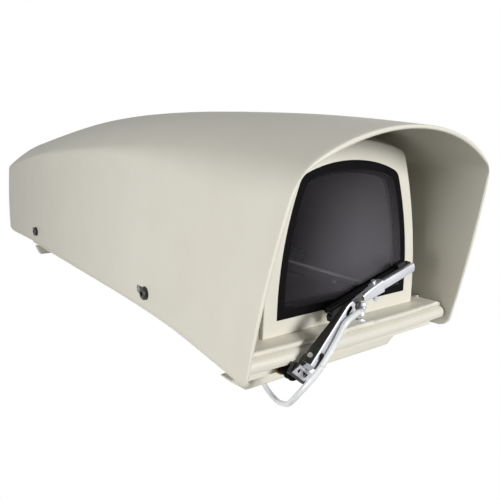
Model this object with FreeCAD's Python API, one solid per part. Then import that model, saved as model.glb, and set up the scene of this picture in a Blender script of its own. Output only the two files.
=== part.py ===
import FreeCAD, Part
import math
import os

from FreeCAD import Vector, Rotation, Placement

# Weatherproof housing for a fixed camera, with a sunshield, a heated window and a wiper.
# Millimetres. X runs to the right seen from the front, the window faces -Y, and +Z is up.
# The origin is the centre of the mounting holes, on the plane under the two feet.

# Sunshield
shield_length = 600.0          # along its lower edge
shield_wall = 2.5
edge_height = 22.5             # lower edge above the mounting plane
hem_height = 5.0               # turned-in lower edge
hem_inset = 2.5
visor_lean = 0.22              # forward lean of the front rim, per unit of height
front_corner_radius = 6.0
rear_corner_radius = 8.0
front_setback = 283.5          # lower front corner, forward of the mounting centre

# Stations along the sunshield: distance behind the lower front corner, lean of the section,
# half width at the edge, half width at the shoulder, shoulder above the inner body's shoulder,
# crown above the shoulder, shoulder softness
stations = [
    (0.0, 1.00, 100.0, 89.0, -8.5, 26.0, 14.0),
    (40.0, 0.55, 95.5, 86.5, -8.5, 31.0, 17.0),
    (110.0, 0.00, 88.0, 82.0, -6.5, 33.5, 15.0),
    (230.0, 0.00, 84.0, 79.0, -5.0, 34.0, 9.0),
    (390.0, 0.00, 81.5, 77.0, -13.0, 35.0, 5.0),
    (500.0, 0.00, 81.5, 77.5, -24.5, 33.5, 4.0),
    (600.0, 0.00, 85.0, 81.0, -42.5, 38.5, 3.5),
]

# Base tray
tray_gap = 2.2                 # between the tray and the inside of the sunshield
hem_gap = 2.2                  # between the tray and the sunshield's turned-in hem
tray_wall = 3.0
deck_height = 19.2             # top of the deck above the sunshield's lower edge
deck_thickness = 3.0
tray_start = 12.0              # front wall, behind the sunshield's lower front corner
tray_end = 562.0
tray_shoulder_drop = 2.0       # where the side turns in, below the sunshield's lower edge
floor_drop = 12.0              # underside of the base plate, below the sunshield's lower edge
floor_half_width = 66.0
base_plate_thickness = 2.0
upstand_start = 64.0           # side upstands that carry the sunshield
upstand_height = 8.0
upstand_wall = 2.4

# Front lip of the tray
lip_set = 6.2                  # ridge line behind the sunshield's lower front corner
lip_ridge_radius = 1.5
lip_underside = 6.7            # above the sunshield's lower edge
lip_nose_depth = 4.0
lip_bow = 2.5                  # how far the middle of the lip stands forward

# Feet and mounting holes
foot_depth = 12.0
front_foot_set = 36.3
rear_foot_set = 518.7
front_foot_half = 71.0
rear_foot_half = 66.0
front_foot_flare = 13.0
rear_foot_flare = 4.0
foot_spread = 50.0             # mounting holes each side of the centre line
foot_hole_radius = 3.3
foot_screw_spread = 30.0
foot_screw_radius = 2.0
foot_screw_head = 4.2
foot_screw_sink = 4.0          # under the screw's head
screw_clearance = 0.3
floor_boss_radius = 5.0

# Inner body, an arch-shaped tube
body_half = 71.0
body_wall = 2.5
body_start = 25.4
body_end = 420.0
flange_half = 75.5
flange_thickness = 4.0
arch_shoulder_inset = 21.7     # half width lost between the foot of the arch and its shoulder
arch_rise = 8.5                # crown above the shoulder
arch_softness = 5.0
rear_boss_radius = 6.0
rear_boss_length = 14.0
rear_screw_inset = 9.0         # screws at the rear, in from the side

# Window
frame_half = body_half + 2.2
frame_thickness = 3.3
window_set = 18.1              # front of the window, behind the sunshield's lower front corner
opening_half = body_half - 8.6
opening_sill = 10.5            # above the foot of the arch
opening_shoulder_inset = 16.9
opening_shoulder_height = 90.3
opening_rise = 9.0             # crown above the shoulder
opening_softness = 5.0
frame_border = 14.0            # from the opening's shoulder to the body's
arch_shoulder_height = opening_sill + opening_shoulder_height + frame_border
gasket_width = 6.0
gasket_back_lip = 3.0
glass_thickness = 5.0
gasket_depth = 6.9
frame_screw_radius = 1.5
frame_screw_head = 2.3

# Sunshield fixings
slot_travel = 14.0
cover_screw_radius = 3.0
cover_screw_head_radius = 5.5
cover_screw_head_height = 3.4
cover_screw_sets = (156.0, 478.0)
cover_screw_height = 17.0
slide_clearance = 0.4
spacer_radius = 7.0

# Camera plate inside the body
plate_margin = 29.0            # from the body's outer face to the edge of the plate
plate_half = body_half - plate_margin
plate_slot_inset = 18.0        # side slots, from the plate's edge
plate_screw_inset = 10.0
plate_side_slot = (90.0, 210.0)
plate_screw_sets = (62.0, 300.0)
plate_thickness = 2.5
plate_rise = 6.8               # above the inner floor
plate_start = 40.0
plate_length = 300.0
plate_travel = 30.0
rail_wall = 2.5
rail_lip = 4.0
plate_clearance = 0.3
plate_slot_half = 3.4
lock_screw_radius = 3.0
lock_screw_set = 320.0
camera_screw_radius = 3.1
camera_screw_set = 150.0
camera_slot_reach = 50.0
plate_screw_radius = 1.5
deck_screw_radius = 1.5
deck_screw_set = 25.0
deck_screw_inset = 3.8
body_screw_inset = 13.0
body_screw_sets = (116.0, 370.0)

# Rear plate and cable glands
rear_plate_thickness = 4.0
gland_radius = 10.0
gland_nut_radius = 13.0
gland_spread = 28.0
gland_height = 40.0
gland_bore = 4.0
rear_screw_radius = 2.0

# Parts inside
heater_set = 130.0
heater_gap = 1.0               # from the rail to the heater, and from the heater to its side wall
heater_length = 90.0
heater_width = body_half - body_wall - plate_half - rail_wall - 2 * heater_gap - 4.0
heater_height = 20.0
heater_fins = 9
thermostat_radius = 8.0
thermostat_set = 150.0
board_set = 373.0
board_half = 30.0
board_depth = 30.0
board_rise = 6.0
board_thickness = 1.6
terminal_ways = 6
terminal_pitch = 7.0
terminal_depth = 12.0
terminal_height = 11.0

# Wiper
shaft_x = -62.0
shaft_drop = 2.0               # above the sunshield's lower edge
shaft_radius = 3.0
shaft_clearance = 0.05
gaiter_radius = 4.4
bush_radius = 5.5
gearbox_set = 16.0             # behind the tray's front wall
gearbox_length = 34.0
gearbox_drop = -3.0            # underside of the gearbox, from the sunshield's lower edge
head_face = -5.5               # front of the wiper head, from the sunshield's lower front corner
head_back = -0.7
head_half = 8.3                # across the arm
head_reach = (-7.5, 7.0)       # along the arm, from the shaft
head_hub_radius = 4.6
head_recess_radius = 5.8
head_recess_depth = 2.5
head_web_back = 0.4
arm_angle = 49.0
arm_lift_set = 13.0            # lift rivet from the shaft
arm_length = 51.0
arm_width = 10.5
arm_depth = 8.0
arm_tip_depth = 3.0
arm_wall = 1.2
arm_face = -12.5
blade_angle = 15.0
blade_centre_x = 9.0
blade_centre_z = 40.8
blade_left = 40.0
blade_right = 47.0
blade_clearance = 0.3          # rubber edge to the glass
rubber_height = 7.0
holder_height = 4.5
spine_height = 2.0
spine_half = 3.5
holder_half = 3.4
bracket_half = 4.9
bracket_wall = 1.1
bracket_depth = 7.0
rock_set = 4.0                 # cross pin behind the bracket's face
strip_half = 2.2
strip_thickness = 1.6
strip_set = -8.0               # level part of the strip, from the sunshield's lower front corner
strip_height = 41.6
strip_flat = (-25.0, -12.0)
nozzle_x = -16.5
nozzle_half = 3.0
rock_pin_radius = 1.4
rivet_radius = 1.6
pin_clearance = 0.05

# Washer hose
hose_radius = 1.9
outlet_radius = 4.0
outlet_x = -40.0
outlet_set = 60.0
split_share = 0.5              # the loop ends this far along the run from its last corner to the arm

# Corner points of the hose: across, behind the sunshield's lower front corner, above its lower edge
loop_corners = [(outlet_x, outlet_set, -17.0), (outlet_x, outlet_set, -25.6), (-42.3, 54.8, -33.0),
                (-43.6, 44.1, -36.8), (-47.6, 32.0, -35.6), (-52.9, 19.9, -30.5), (-58.9, 8.3, -23.7),
                (-65.3, -1.9, -15.6), (-64.4, -9.4, -5.6), (-58.7, -14.9, 5.0)]
arm_corners = [(-49.4, -15.0, 14.4), (-40.9, -15.0, 25.3), (-34.4, -15.0, 35.6), (-22.5, -14.2, 38.0)]


def front(distance):
    """Y of a place given as a distance behind the sunshield's lower front corner."""
    return distance - front_setback


def level(height):
    """Z of a place given as a height above the sunshield's lower edge."""
    return height + edge_height


deck_top = level(deck_height)
arch_foot = deck_top
floor_under = level(-floor_drop)
rear_y = front(shield_length)
shaft_z = level(shaft_drop)


def bezier(points):
    """One edge along a Bezier curve through its control points."""
    curve = Part.BezierCurve()
    curve.setPoles([Vector(*point) for point in points])
    return curve.toShape()


def line(first, second):
    return Part.makeLine(Vector(*first), Vector(*second))


def towards(start, end, distance):
    """Point at a distance from start on the way to end, in the section plane."""
    length = math.hypot(end[0] - start[0], end[1] - start[1])
    share = distance / length
    return (start[0] + share * (end[0] - start[0]), start[1] + share * (end[1] - start[1]))


def arch_half(half, shoulder_half, shoulder_height, crown_height, softness, foot_height=0.0):
    """Control points of one half of an arch: upright side, soft shoulder, shallow roof."""
    foot = (half, foot_height)
    side_pull = (half + 0.4, 0.5 * shoulder_height)
    shoulder = (shoulder_half, shoulder_height)
    roof_pull = (0.5 * shoulder_half, crown_height)
    crown = (0.0, crown_height)
    side_end = towards(shoulder, side_pull, softness)
    roof_start = towards(shoulder, roof_pull, softness)
    return [(foot, side_pull, side_end), (side_end, shoulder, roof_start), (roof_start, roof_pull, crown)]


def arch_edges(halves, place):
    """Edges of the whole arch from the right foot over the crown to the left foot."""
    right = [bezier([place(*point) for point in curve]) for curve in halves]
    left = [bezier([place(-point[0], point[1]) for point in reversed(curve)]) for curve in reversed(halves)]
    return right + left


def arch_wire(half, shoulder_half, shoulder_height, crown_height, softness, foot_z, y):
    """Closed arch outline in an upright plane across the housing."""
    def place(x, z):
        return (x, y, foot_z + z)
    halves = arch_half(half, shoulder_half, shoulder_height, crown_height, softness)
    edges = arch_edges(halves, place)
    edges.append(line(place(-half, 0.0), place(half, 0.0)))
    return Part.Wire(edges)


def arch_slab(sizes, foot_z, y, depth):
    return Part.Face(arch_wire(*sizes, foot_z, y)).extrude(Vector(0, depth, 0))


def box(x0, x1, y0, y1, z0, z1):
    return Part.makeBox(x1 - x0, y1 - y0, z1 - z0, Vector(x0, y0, z0))


def rod(radius, start, direction, length):
    return Part.makeCylinder(radius, length, Vector(*start), Vector(*direction))


def prism(points, direction):
    """Solid swept from a flat polygon."""
    vectors = [Vector(*point) for point in points]
    return Part.Face(Part.makePolygon(vectors + vectors[:1])).extrude(Vector(*direction))


def rounded_bar(first, second, radius, y, depth):
    """Flat bar with round ends, lying in an upright plane across the housing."""
    ax, az = first
    bx, bz = second
    length = math.hypot(bx - ax, bz - az)
    ux, uz = (bx - ax) / length, (bz - az) / length
    nx, nz = -uz * radius, ux * radius
    edges = [
        line((ax + nx, y, az + nz), (bx + nx, y, bz + nz)),
        Part.Arc(Vector(bx + nx, y, bz + nz), Vector(bx + ux * radius, y, bz + uz * radius),
                 Vector(bx - nx, y, bz - nz)).toShape(),
        line((bx - nx, y, bz - nz), (ax - nx, y, az - nz)),
        Part.Arc(Vector(ax - nx, y, az - nz), Vector(ax - ux * radius, y, az - uz * radius),
                 Vector(ax + nx, y, az + nz)).toShape(),
    ]
    return Part.Face(Part.Wire(edges)).extrude(Vector(0, depth, 0))


found_widths = {}


def shield_half(distance):
    """Half width of the sunshield just above its hem, measured on the lofted shell."""
    distance = max(distance, visor_lean * hem_height)
    if not found_widths:
        found_widths["shell"] = Part.makeLoft([shield_section(station) for station in stations], True, False)
    if distance not in found_widths:
        z = level(cover_screw_height)
        probe = Part.makeLine(Vector(0, front(distance), z), Vector(2 * stations[0][2], front(distance), z))
        hit = found_widths["shell"].common(probe)
        found_widths[distance] = max(vertex.X for vertex in hit.Vertexes)
    return found_widths[distance]


# Sunshield

def shield_section(station):
    """Closed wall outline of the sunshield at one station, leaning with the visor near the front."""
    distance, lean, half, shoulder_half, shoulder_rise, crown_rise, softness = station
    shoulder_height = deck_height + arch_shoulder_height + shoulder_rise
    crown_height = shoulder_height + crown_rise

    def place(x, z):
        return (x, front(distance) - visor_lean * lean * z, level(z))
    outer = arch_half(half, shoulder_half, shoulder_height, crown_height, softness, hem_height)
    inner = arch_half(half - shield_wall, shoulder_half - shield_wall, shoulder_height - 0.4 * shield_wall,
                      crown_height - shield_wall, softness, hem_height)
    outer_foot = half - hem_inset
    inner_foot = outer_foot - shield_wall
    edges = [line(place(outer_foot, 0.0), place(half, hem_height))]
    edges += arch_edges(outer, place)
    edges.append(line(place(-half, hem_height), place(-outer_foot, 0.0)))
    edges.append(line(place(-outer_foot, 0.0), place(-inner_foot, 0.0)))
    edges.append(line(place(-inner_foot, 0.0), place(-(half - shield_wall), hem_height)))
    mirrored = [bezier([place(-point[0], point[1]) for point in curve]) for curve in inner]
    returned = [bezier([place(*point) for point in reversed(curve)]) for curve in reversed(inner)]
    edges += mirrored + returned
    edges.append(line(place(half - shield_wall, hem_height), place(inner_foot, 0.0)))
    edges.append(line(place(inner_foot, 0.0), place(outer_foot, 0.0)))
    return Part.Wire(edges)


def corner_cutter(corner, along_edge, along_rim, radius):
    """Waste outside a rounding between two lines that leave a corner, across the whole width."""
    cx, cz = corner
    turn = math.acos(along_edge[0] * along_rim[0] + along_edge[1] * along_rim[1])
    reach = radius / math.tan(0.5 * turn)
    first = (cx + reach * along_edge[0], cz + reach * along_edge[1])
    second = (cx + reach * along_rim[0], cz + reach * along_rim[1])
    mid = (0.5 * (along_edge[0] + along_rim[0]), 0.5 * (along_edge[1] + along_rim[1]))
    size = math.hypot(*mid)
    to_centre = radius / math.sin(0.5 * turn)
    nearest = to_centre - radius
    touch = (cx + nearest * mid[0] / size, cz + nearest * mid[1] / size)
    outside = (cx - nearest * mid[0] / size, cz - nearest * mid[1] / size)
    width = stations[0][2] + hem_height

    def at(point):
        return Vector(-width, point[0], point[1])
    edges = [Part.Arc(at(first), at(touch), at(second)).toShape(),
             Part.makeLine(at(second), at(outside)), Part.makeLine(at(outside), at(first))]
    return Part.Face(Part.Wire(edges)).extrude(Vector(2 * width, 0, 0))


def cover_slot(side, distance):
    """Cutter for one slot in the sunshield's side, open towards the rear of its screw."""
    radius = cover_screw_radius + slide_clearance
    z = level(cover_screw_height)
    start = front(distance)
    end = start + slot_travel + slide_clearance
    x = side * (shield_half(distance) - 3 * shield_wall)
    reach = side * 6 * shield_wall
    cut = rod(radius, (x, start, z), (side, 0, 0), abs(reach))
    cut = cut.fuse(rod(radius, (x, end, z), (side, 0, 0), abs(reach)))
    x0, x1 = sorted((x, x + reach))
    return cut.fuse(box(x0, x1, start, end, z - radius, z + radius))


def make_sunshield():
    shell = Part.makeLoft([shield_section(station) for station in stations], True, False)
    lean = math.hypot(visor_lean, 1.0)
    front_cut = corner_cutter((front(0.0), edge_height), (1.0, 0.0), (-visor_lean / lean, 1.0 / lean),
                              front_corner_radius)
    rear_cut = corner_cutter((rear_y, edge_height), (-1.0, 0.0), (0.0, 1.0), rear_corner_radius)
    shell = shell.cut(front_cut).cut(rear_cut)
    for distance in cover_screw_sets:
        for side in (-1, 1):
            shell = shell.cut(cover_slot(side, distance))
    return shell


def each_cover_screw():
    for distance in cover_screw_sets:
        for side in (-1, 1):
            yield side, distance


def wall_face(distance):
    """Outer face of the tray's upstand at a distance behind the front corner."""
    return shield_half(distance) - shield_wall - tray_gap


def low_face(distance):
    """Outer face of the tray beside the sunshield's turned-in hem."""
    return shield_half(distance) - shield_wall - hem_inset - hem_gap


def make_cover_screws():
    """Button-head screws through the slots into the tray's upstands."""
    screws = []
    for side, distance in each_cover_screw():
        z = level(cover_screw_height)
        y = front(distance)
        seat = shield_half(distance) + slide_clearance
        tip = wall_face(distance) - upstand_wall
        shank = rod(cover_screw_radius, (side * tip, y, z), (side, 0, 0), seat - tip)
        head = rod(cover_screw_head_radius, (side * seat, y, z), (side, 0, 0), cover_screw_head_height)
        rim = [edge for edge in head.Edges
               if abs(edge.BoundBox.XLength) < 0.01 and abs(edge.CenterOfMass.x) > seat + 1.0]
        head = head.makeFillet(0.6 * cover_screw_head_height, rim)
        socket = rod(0.38 * cover_screw_head_radius, (side * (seat + cover_screw_head_height - 1.6), y, z),
                     (side, 0, 0), 2.0)
        screws.append(shank.fuse(head).cut(socket))
    return Part.makeCompound(screws)


def make_cover_spacers():
    """Nylon spacers that keep the sunshield off the tray."""
    spacers = []
    for side, distance in each_cover_screw():
        z = level(cover_screw_height)
        y = front(distance)
        base = max(wall_face(distance - spacer_radius), wall_face(distance + spacer_radius))
        reach = shield_half(distance + spacer_radius + slot_travel) - shield_wall - slide_clearance
        thick = min(reach, shield_half(distance) - shield_wall - slide_clearance) - base
        ring = rod(spacer_radius, (side * base, y, z), (side, 0, 0), thick)
        bore = rod(cover_screw_radius + pin_clearance, (side * (base - 1), y, z), (side, 0, 0), thick + 2)
        spacers.append(ring.cut(bore))
    return Part.makeCompound(spacers)


# Base tray

def tray_section(distance, inset, top, bottom, floor_half):
    """Tray outline across the housing: sides that step in beside the hem and turn in to the floor."""
    half = wall_face(distance) - inset
    low_half = low_face(distance) - inset
    y = front(distance)
    turn = level(-tray_shoulder_drop)
    step = level(hem_height)
    corner = 4.0
    points = [(floor_half, bottom), (low_half, turn), (low_half, step - inset),
              (half, step + (half - low_half) - inset), (half, top - corner), (half - corner, top)]
    whole = points + [(-x, z) for x, z in reversed(points)]
    return Part.makePolygon([Vector(x, y, z) for x, z in whole + whole[:1]])


def tray_stations(first, last):
    """Places for the tray's sections: evenly spaced, and on both sides of each cover screw."""
    steps = 6
    places = {first + (last - first) * index / steps for index in range(steps + 1)}
    for distance in cover_screw_sets:
        near = {distance - spacer_radius, distance + spacer_radius}
        places = {place for place in places
                  if abs(place - distance) > 2 * spacer_radius or place in (first, last)}
        places |= {place for place in near if first < place < last}
    return sorted(places)


def lip_profile():
    """Side view of the front lip: a bead, a hollow below it and a round nose."""
    ridge = front(lip_set)
    top = deck_top
    bead = lip_ridge_radius
    hollow = top - 2 * bead - 0.6
    underside = level(lip_underside)
    nose_low = underside + 0.6
    tip = ridge - lip_nose_depth
    back = front(tray_start + tray_wall)
    edges = [
        line((0, back, top), (0, ridge + bead, top)),
        Part.Arc(Vector(0, ridge + bead, top), Vector(0, ridge - 0.4 * bead, top - bead),
                 Vector(0, ridge + 0.5 * bead, hollow)).toShape(),
        bezier([(0, ridge + 0.5 * bead, hollow), (0, tip + 1.0, hollow - 0.5),
                (0, tip - 1.2, 0.5 * (hollow + nose_low)), (0, tip + 1.0, nose_low)]),
        line((0, tip + 1.0, nose_low), (0, tip + 3.0, underside)),
        line((0, tip + 3.0, underside), (0, back, underside)),
        line((0, back, underside), (0, back, top)),
    ]
    return Part.Face(Part.Wire(edges))


def make_lip():
    """The lip follows a shallow bow, so its profile is turned about a distant upright axis."""
    half = wall_face(lip_set)
    bow_radius = half * half / (2.0 * lip_bow)
    axis_y = front(lip_set) - lip_bow + bow_radius
    profile = lip_profile()
    profile.translate(Vector(0, -lip_bow, 0))
    turn = math.degrees(math.asin(min(0.9, (half + 8.0) / bow_radius)))
    start = profile.copy()
    start.rotate(Vector(0, axis_y, 0), Vector(0, 0, 1), -turn)
    swept = start.revolve(Vector(0, axis_y, 0), Vector(0, 0, 1), 2 * turn)
    low = level(hem_height)
    ends = Part.makeLoft([tray_end_cap(distance, low) for distance in (-8.0, 12.0, 40.0)], True, True)
    return swept.common(ends)


def tray_end_cap(distance, low):
    """Outline that rounds the two ends of the lip, in a plane across the housing."""
    half = wall_face(max(distance, 0.0)) + 0.05 * min(distance, 0.0)
    y = front(distance)
    round_off = 6.0
    top = deck_top + 1.0
    points = [(half, low), (half, top - round_off), (half - 0.3 * round_off, top - 0.3 * round_off),
              (half - round_off, top)]
    whole = points + [(-x, z) for x, z in reversed(points)]
    return Part.makePolygon([Vector(x, y, z) for x, z in whole + whole[:1]])


def make_base_tray():
    """Cast tray: deck, sloping bow, sides that turn in, side upstands and the front lip."""
    top = deck_top
    under = floor_under + base_plate_thickness
    places = tray_stations(tray_start, tray_end)
    solid = Part.makeLoft([tray_section(d, 0.0, top, under, floor_half_width) for d in places], True, True)
    hollow_places = tray_stations(tray_start + tray_wall, tray_end - tray_wall)
    hollow = Part.makeLoft([tray_section(d, tray_wall, top - deck_thickness, under - 1.0,
                                         floor_half_width - tray_wall) for d in hollow_places], True, True)
    bow = prism([(-120, front(tray_start) - 1, level(-1.0)), (-120, front(tray_start) - 1, floor_under - 2),
                 (-120, front(front_foot_set), floor_under - 2), (-120, front(front_foot_set), under)],
                (240, 0, 0))
    inner_bow = prism([(-120, front(tray_start), level(-1.0) + tray_wall),
                       (-120, front(tray_start), floor_under - 2),
                       (-120, front(front_foot_set), floor_under - 2),
                       (-120, front(front_foot_set) + tray_wall, under)], (240, 0, 0))
    hollow = hollow.cut(inner_bow)
    tray = solid.cut(bow).cut(hollow)
    tray = tray.fuse(make_lip())
    for side in (-1, 1):
        tray = tray.fuse(upstand(side))
    for side in (-1, 1):
        for distance in floor_screw_sets():
            tray = tray.fuse(floor_boss(side, distance, under))
    for side, distance in each_cover_screw():
        x = side * (wall_face(distance) - 2 * upstand_wall)
        tray = tray.cut(rod(cover_screw_radius, (x, front(distance), level(cover_screw_height)),
                            (side, 0, 0), 4 * upstand_wall))
    tray = tray.cut(rod(bush_radius, (shaft_x, front(tray_start) - 6, shaft_z), (0, 1, 0), 20.0))
    for x, distance in deck_screw_places() + body_screw_places():
        tray = tray.cut(rod(deck_screw_radius, (x, front(distance), deck_top - deck_thickness - 1), (0, 0, 1),
                            deck_thickness + 2))
    return tray.removeSplitter()


def upstand(side):
    """Upright strip along one side of the deck that carries the sunshield's screws."""
    places = tray_stations(upstand_start, tray_end)
    low = deck_top - 0.5 * deck_thickness
    high = deck_top + upstand_height

    def section(distance):
        outer = side * wall_face(distance)
        inner = side * (wall_face(distance) - upstand_wall)
        y = front(distance)
        corners = [(outer, low - 4.0), (inner, low - 4.0), (inner, high), (outer, high)]
        return Part.makePolygon([Vector(x, y, z) for x, z in corners + corners[:1]])
    return Part.makeLoft([section(d) for d in places], True, True)


def floor_screw_sets():
    return (front_foot_set + foot_depth / 2, 0.5 * (front_foot_set + rear_foot_set),
            rear_foot_set + foot_depth / 2)


def floor_boss(side, distance, under):
    """Pillar under the deck that takes a base plate screw."""
    pillar = rod(floor_boss_radius, (side * foot_screw_spread, front(distance), under), (0, 0, 1),
                 deck_top - 0.5 * deck_thickness - under)
    hole = rod(foot_screw_radius, (side * foot_screw_spread, front(distance), under - 1), (0, 0, 1), 12.0)
    return pillar.cut(hole)


def make_base_plate():
    """Flat plate that closes the tray from below."""
    y0 = front(front_foot_set)
    y1 = front(tray_end)
    plate = box(-floor_half_width, floor_half_width, y0, y1, floor_under, floor_under + base_plate_thickness)
    upright = [edge for edge in plate.Edges if abs(edge.BoundBox.ZLength - base_plate_thickness) < 0.01]
    plate = plate.makeFillet(6.0, upright)
    for side in (-1, 1):
        for distance in floor_screw_sets():
            place = (side * foot_screw_spread, front(distance), floor_under - 1)
            plate = plate.cut(rod(foot_screw_radius + screw_clearance, place, (0, 0, 1), 5.0))
    return plate.cut(rod(outlet_radius, (outlet_x, front(outlet_set), floor_under - 1), (0, 0, 1), 6.0))


def make_foot(distance, half, flare):
    """Cross foot with flared ends and two mounting holes."""
    y = front(distance)
    rise = floor_under
    points = [(-half, 0), (half, 0), (half + flare, rise - 1.0), (half + flare, rise), (-half - flare, rise),
              (-half - flare, rise - 1.0)]
    foot = prism([(x, y, z) for x, z in points], (0, foot_depth, 0))
    along = [edge for edge in foot.Edges if edge.BoundBox.XLength > half and edge.CenterOfMass.z < 0.01]
    foot = foot.makeFillet(1.5, along)
    middle = y + foot_depth / 2
    for side in (-1, 1):
        foot = foot.cut(rod(foot_hole_radius, (side * foot_spread, middle, -1), (0, 0, 1), rise + 2))
        foot = foot.cut(rod(foot_screw_radius + screw_clearance, (side * foot_screw_spread, middle, -1),
                            (0, 0, 1), rise + 2))
        foot = foot.cut(rod(foot_screw_head, (side * foot_screw_spread, middle, -1), (0, 0, 1),
                            1 + rise - foot_screw_sink))
    return foot


def make_foot_screws():
    """Countersunk screws through feet and base plate into the tray's pillars."""
    screws = []
    for side in (-1, 1):
        for index, distance in enumerate(floor_screw_sets()):
            x = side * foot_screw_spread
            y = front(distance)
            seat = floor_under if index == 1 else floor_under - foot_screw_sink
            shank = rod(foot_screw_radius, (x, y, seat), (0, 0, 1), floor_under + 10.0 - seat)
            head = rod(foot_screw_head - 0.4, (x, y, seat - 2.0), (0, 0, 1), 2.0)
            screws.append(shank.fuse(head))
    return Part.makeCompound(screws)


# Inner body and window

def body_sizes(half, trim=0.0):
    """Arch sizes of the inner body for a half width, moved in by trim on every side."""
    return (half - trim, half - arch_shoulder_inset - trim, arch_shoulder_height - 1.4 * trim,
            arch_shoulder_height + arch_rise - (frame_half - half) - 2.0 * trim, arch_softness)


def window_sizes(trim=0.0):
    """Arch sizes of the window opening, with all faces moved in by trim."""
    return (opening_half - trim, opening_half - opening_shoulder_inset - 0.8 * trim,
            opening_shoulder_height - 1.6 * trim, opening_shoulder_height + opening_rise - 2.0 * trim,
            opening_softness)


def window_slab(trim, distance, depth):
    """Slab with the window's outline, moved in by trim on every side."""
    foot = arch_foot + opening_sill + trim
    return arch_slab(window_sizes(trim), foot, front(distance), depth)


def make_window_frame():
    plate = arch_slab(body_sizes(frame_half), arch_foot, front(window_set), frame_thickness)
    rim = [edge for edge in plate.Edges
           if edge.BoundBox.YLength < 0.01 and abs(edge.CenterOfMass.y - front(window_set)) < 0.01]
    plate = plate.makeFillet(0.8, rim)
    plate = plate.cut(window_slab(0.0, window_set - 1, frame_thickness + 2))
    for x, z in frame_screw_places():
        hole = rod(frame_screw_radius, (x, front(window_set) + 1.0, z), (0, 1, 0), frame_thickness)
        plate = plate.cut(hole)
    return plate


def side_middle(sizes, foot_height):
    """Point half way up the side of an arch, on its Bezier curve."""
    foot, pull, end = arch_half(*sizes)[0]
    x, z = [0.25 * a + 0.5 * b + 0.25 * c for a, b, c in zip(foot, pull, end)]
    return x, z + foot_height


def frame_screw_places():
    """Screws round the window, from inside the body into the frame, midway between opening and wall."""
    opening = window_sizes()
    wall = body_sizes(body_half, body_wall)
    low = arch_foot + 0.5 * (opening_sill + body_wall)
    side = 0.5 * (opening_half + body_half - body_wall)
    high = arch_foot + 0.5 * (opening_sill + opening[3] + wall[3] + body_wall)
    inner, outer = side_middle(opening, arch_foot + opening_sill), side_middle(wall, arch_foot + body_wall)
    half_way = (0.5 * (inner[0] + outer[0]), 0.5 * (inner[1] + outer[1]))
    return [(-side, low), (0.0, low), (side, low), (-half_way[0], half_way[1]), half_way, (0.0, high)]


def make_frame_screws():
    screws = []
    seat = front(window_set) + frame_thickness + flange_thickness
    for x, z in frame_screw_places():
        start = front(window_set) + 1.2
        shank = rod(frame_screw_radius, (x, start, z), (0, 1, 0), seat - start)
        head = rod(frame_screw_head, (x, seat, z), (0, 1, 0), 2.0)
        screws.append(shank.fuse(head))
    return Part.makeCompound(screws)


def make_window_gasket():
    """Rubber ring round the glass, with a lip behind it."""
    ring = window_slab(0.05, window_set, gasket_depth)
    ring = ring.cut(window_slab(gasket_width, window_set - 1, glass_thickness + 1))
    return ring.cut(window_slab(gasket_width + gasket_back_lip, window_set - 1, gasket_depth + 2))


def make_window_glass():
    return window_slab(gasket_width, window_set, glass_thickness)


def make_inner_body():
    """Arch-shaped tube with a front flange and two rails on its floor for the camera plate."""
    start = front(window_set) + frame_thickness
    flange = arch_slab(body_sizes(flange_half), arch_foot, start, flange_thickness)
    flange = flange.cut(window_slab(0.0, window_set, 20.0))
    for x, z in frame_screw_places():
        flange = flange.cut(rod(frame_screw_radius, (x, start - 1, z), (0, 1, 0), flange_thickness + 2))
    length = front(body_end) - start - flange_thickness
    outer = arch_slab(body_sizes(body_half), arch_foot, start + flange_thickness, length)
    inner = arch_slab(body_sizes(body_half, body_wall), arch_foot + body_wall, start + flange_thickness - 1,
                      length + 2)
    tube = outer.cut(inner)
    for side in (-1, 1):
        tube = tube.fuse(plate_rail(side))
    tube = tube.fuse(lock_boss())
    for x, z in rear_screw_places():
        tube = tube.fuse(rear_boss(x, z, outer))
    for x, distance in body_screw_places():
        tube = tube.cut(rod(deck_screw_radius, (x, front(distance), arch_foot - 1), (0, 0, 1), body_wall + 2))
    return tube.fuse(flange)


def inner_floor():
    return arch_foot + body_wall


def plate_bottom():
    return inner_floor() + plate_rise


def plate_rail(side):
    """C-shaped rail on the floor that holds one edge of the camera plate."""
    y0 = front(plate_start) - 4.0
    length = plate_length + plate_travel
    inside = plate_half + plate_clearance
    low = arch_foot + 0.5 * body_wall
    shelf = plate_bottom() - plate_clearance
    cap = plate_bottom() + plate_thickness + plate_clearance
    outline = [(inside - 7.0, low), (inside + rail_wall, low), (inside + rail_wall, cap + rail_wall),
               (inside - rail_lip, cap + rail_wall), (inside - rail_lip, cap), (inside, cap),
               (inside, shelf), (inside - 7.0, shelf)]
    return prism([(side * x, y0, z) for x, z in outline], (0, length, 0))


def lock_boss():
    low = arch_foot + 0.5 * body_wall
    y = front(lock_screw_set)
    height = plate_bottom() - plate_clearance - low
    boss = rod(7.0, (0, y, low), (0, 0, 1), height)
    return boss.cut(rod(lock_screw_radius, (0, y, low + 1.5), (0, 0, 1), height))


def make_camera_plate():
    """Slotted plate that the camera is screwed to."""
    y0 = front(plate_start)
    z = plate_bottom()
    plate = box(-plate_half, plate_half, y0, y0 + plate_length, z, z + plate_thickness)
    slots = [(0.0, camera_screw_set - camera_slot_reach, camera_screw_set + camera_slot_reach),
             (0.0, lock_screw_set - plate_travel - slide_clearance, lock_screw_set + slide_clearance),
             (-plate_half + plate_slot_inset, *plate_side_slot),
             (plate_half - plate_slot_inset, *plate_side_slot)]
    for x, first, last in slots:
        plate = plate.cut(plate_slot(x, first, last, z))
    for x, distance in plate_screw_places():
        hole = rod(plate_screw_radius, (x, front(distance), z - 1), (0, 0, 1), plate_thickness + 2)
        plate = plate.cut(hole)
    return plate


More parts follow.
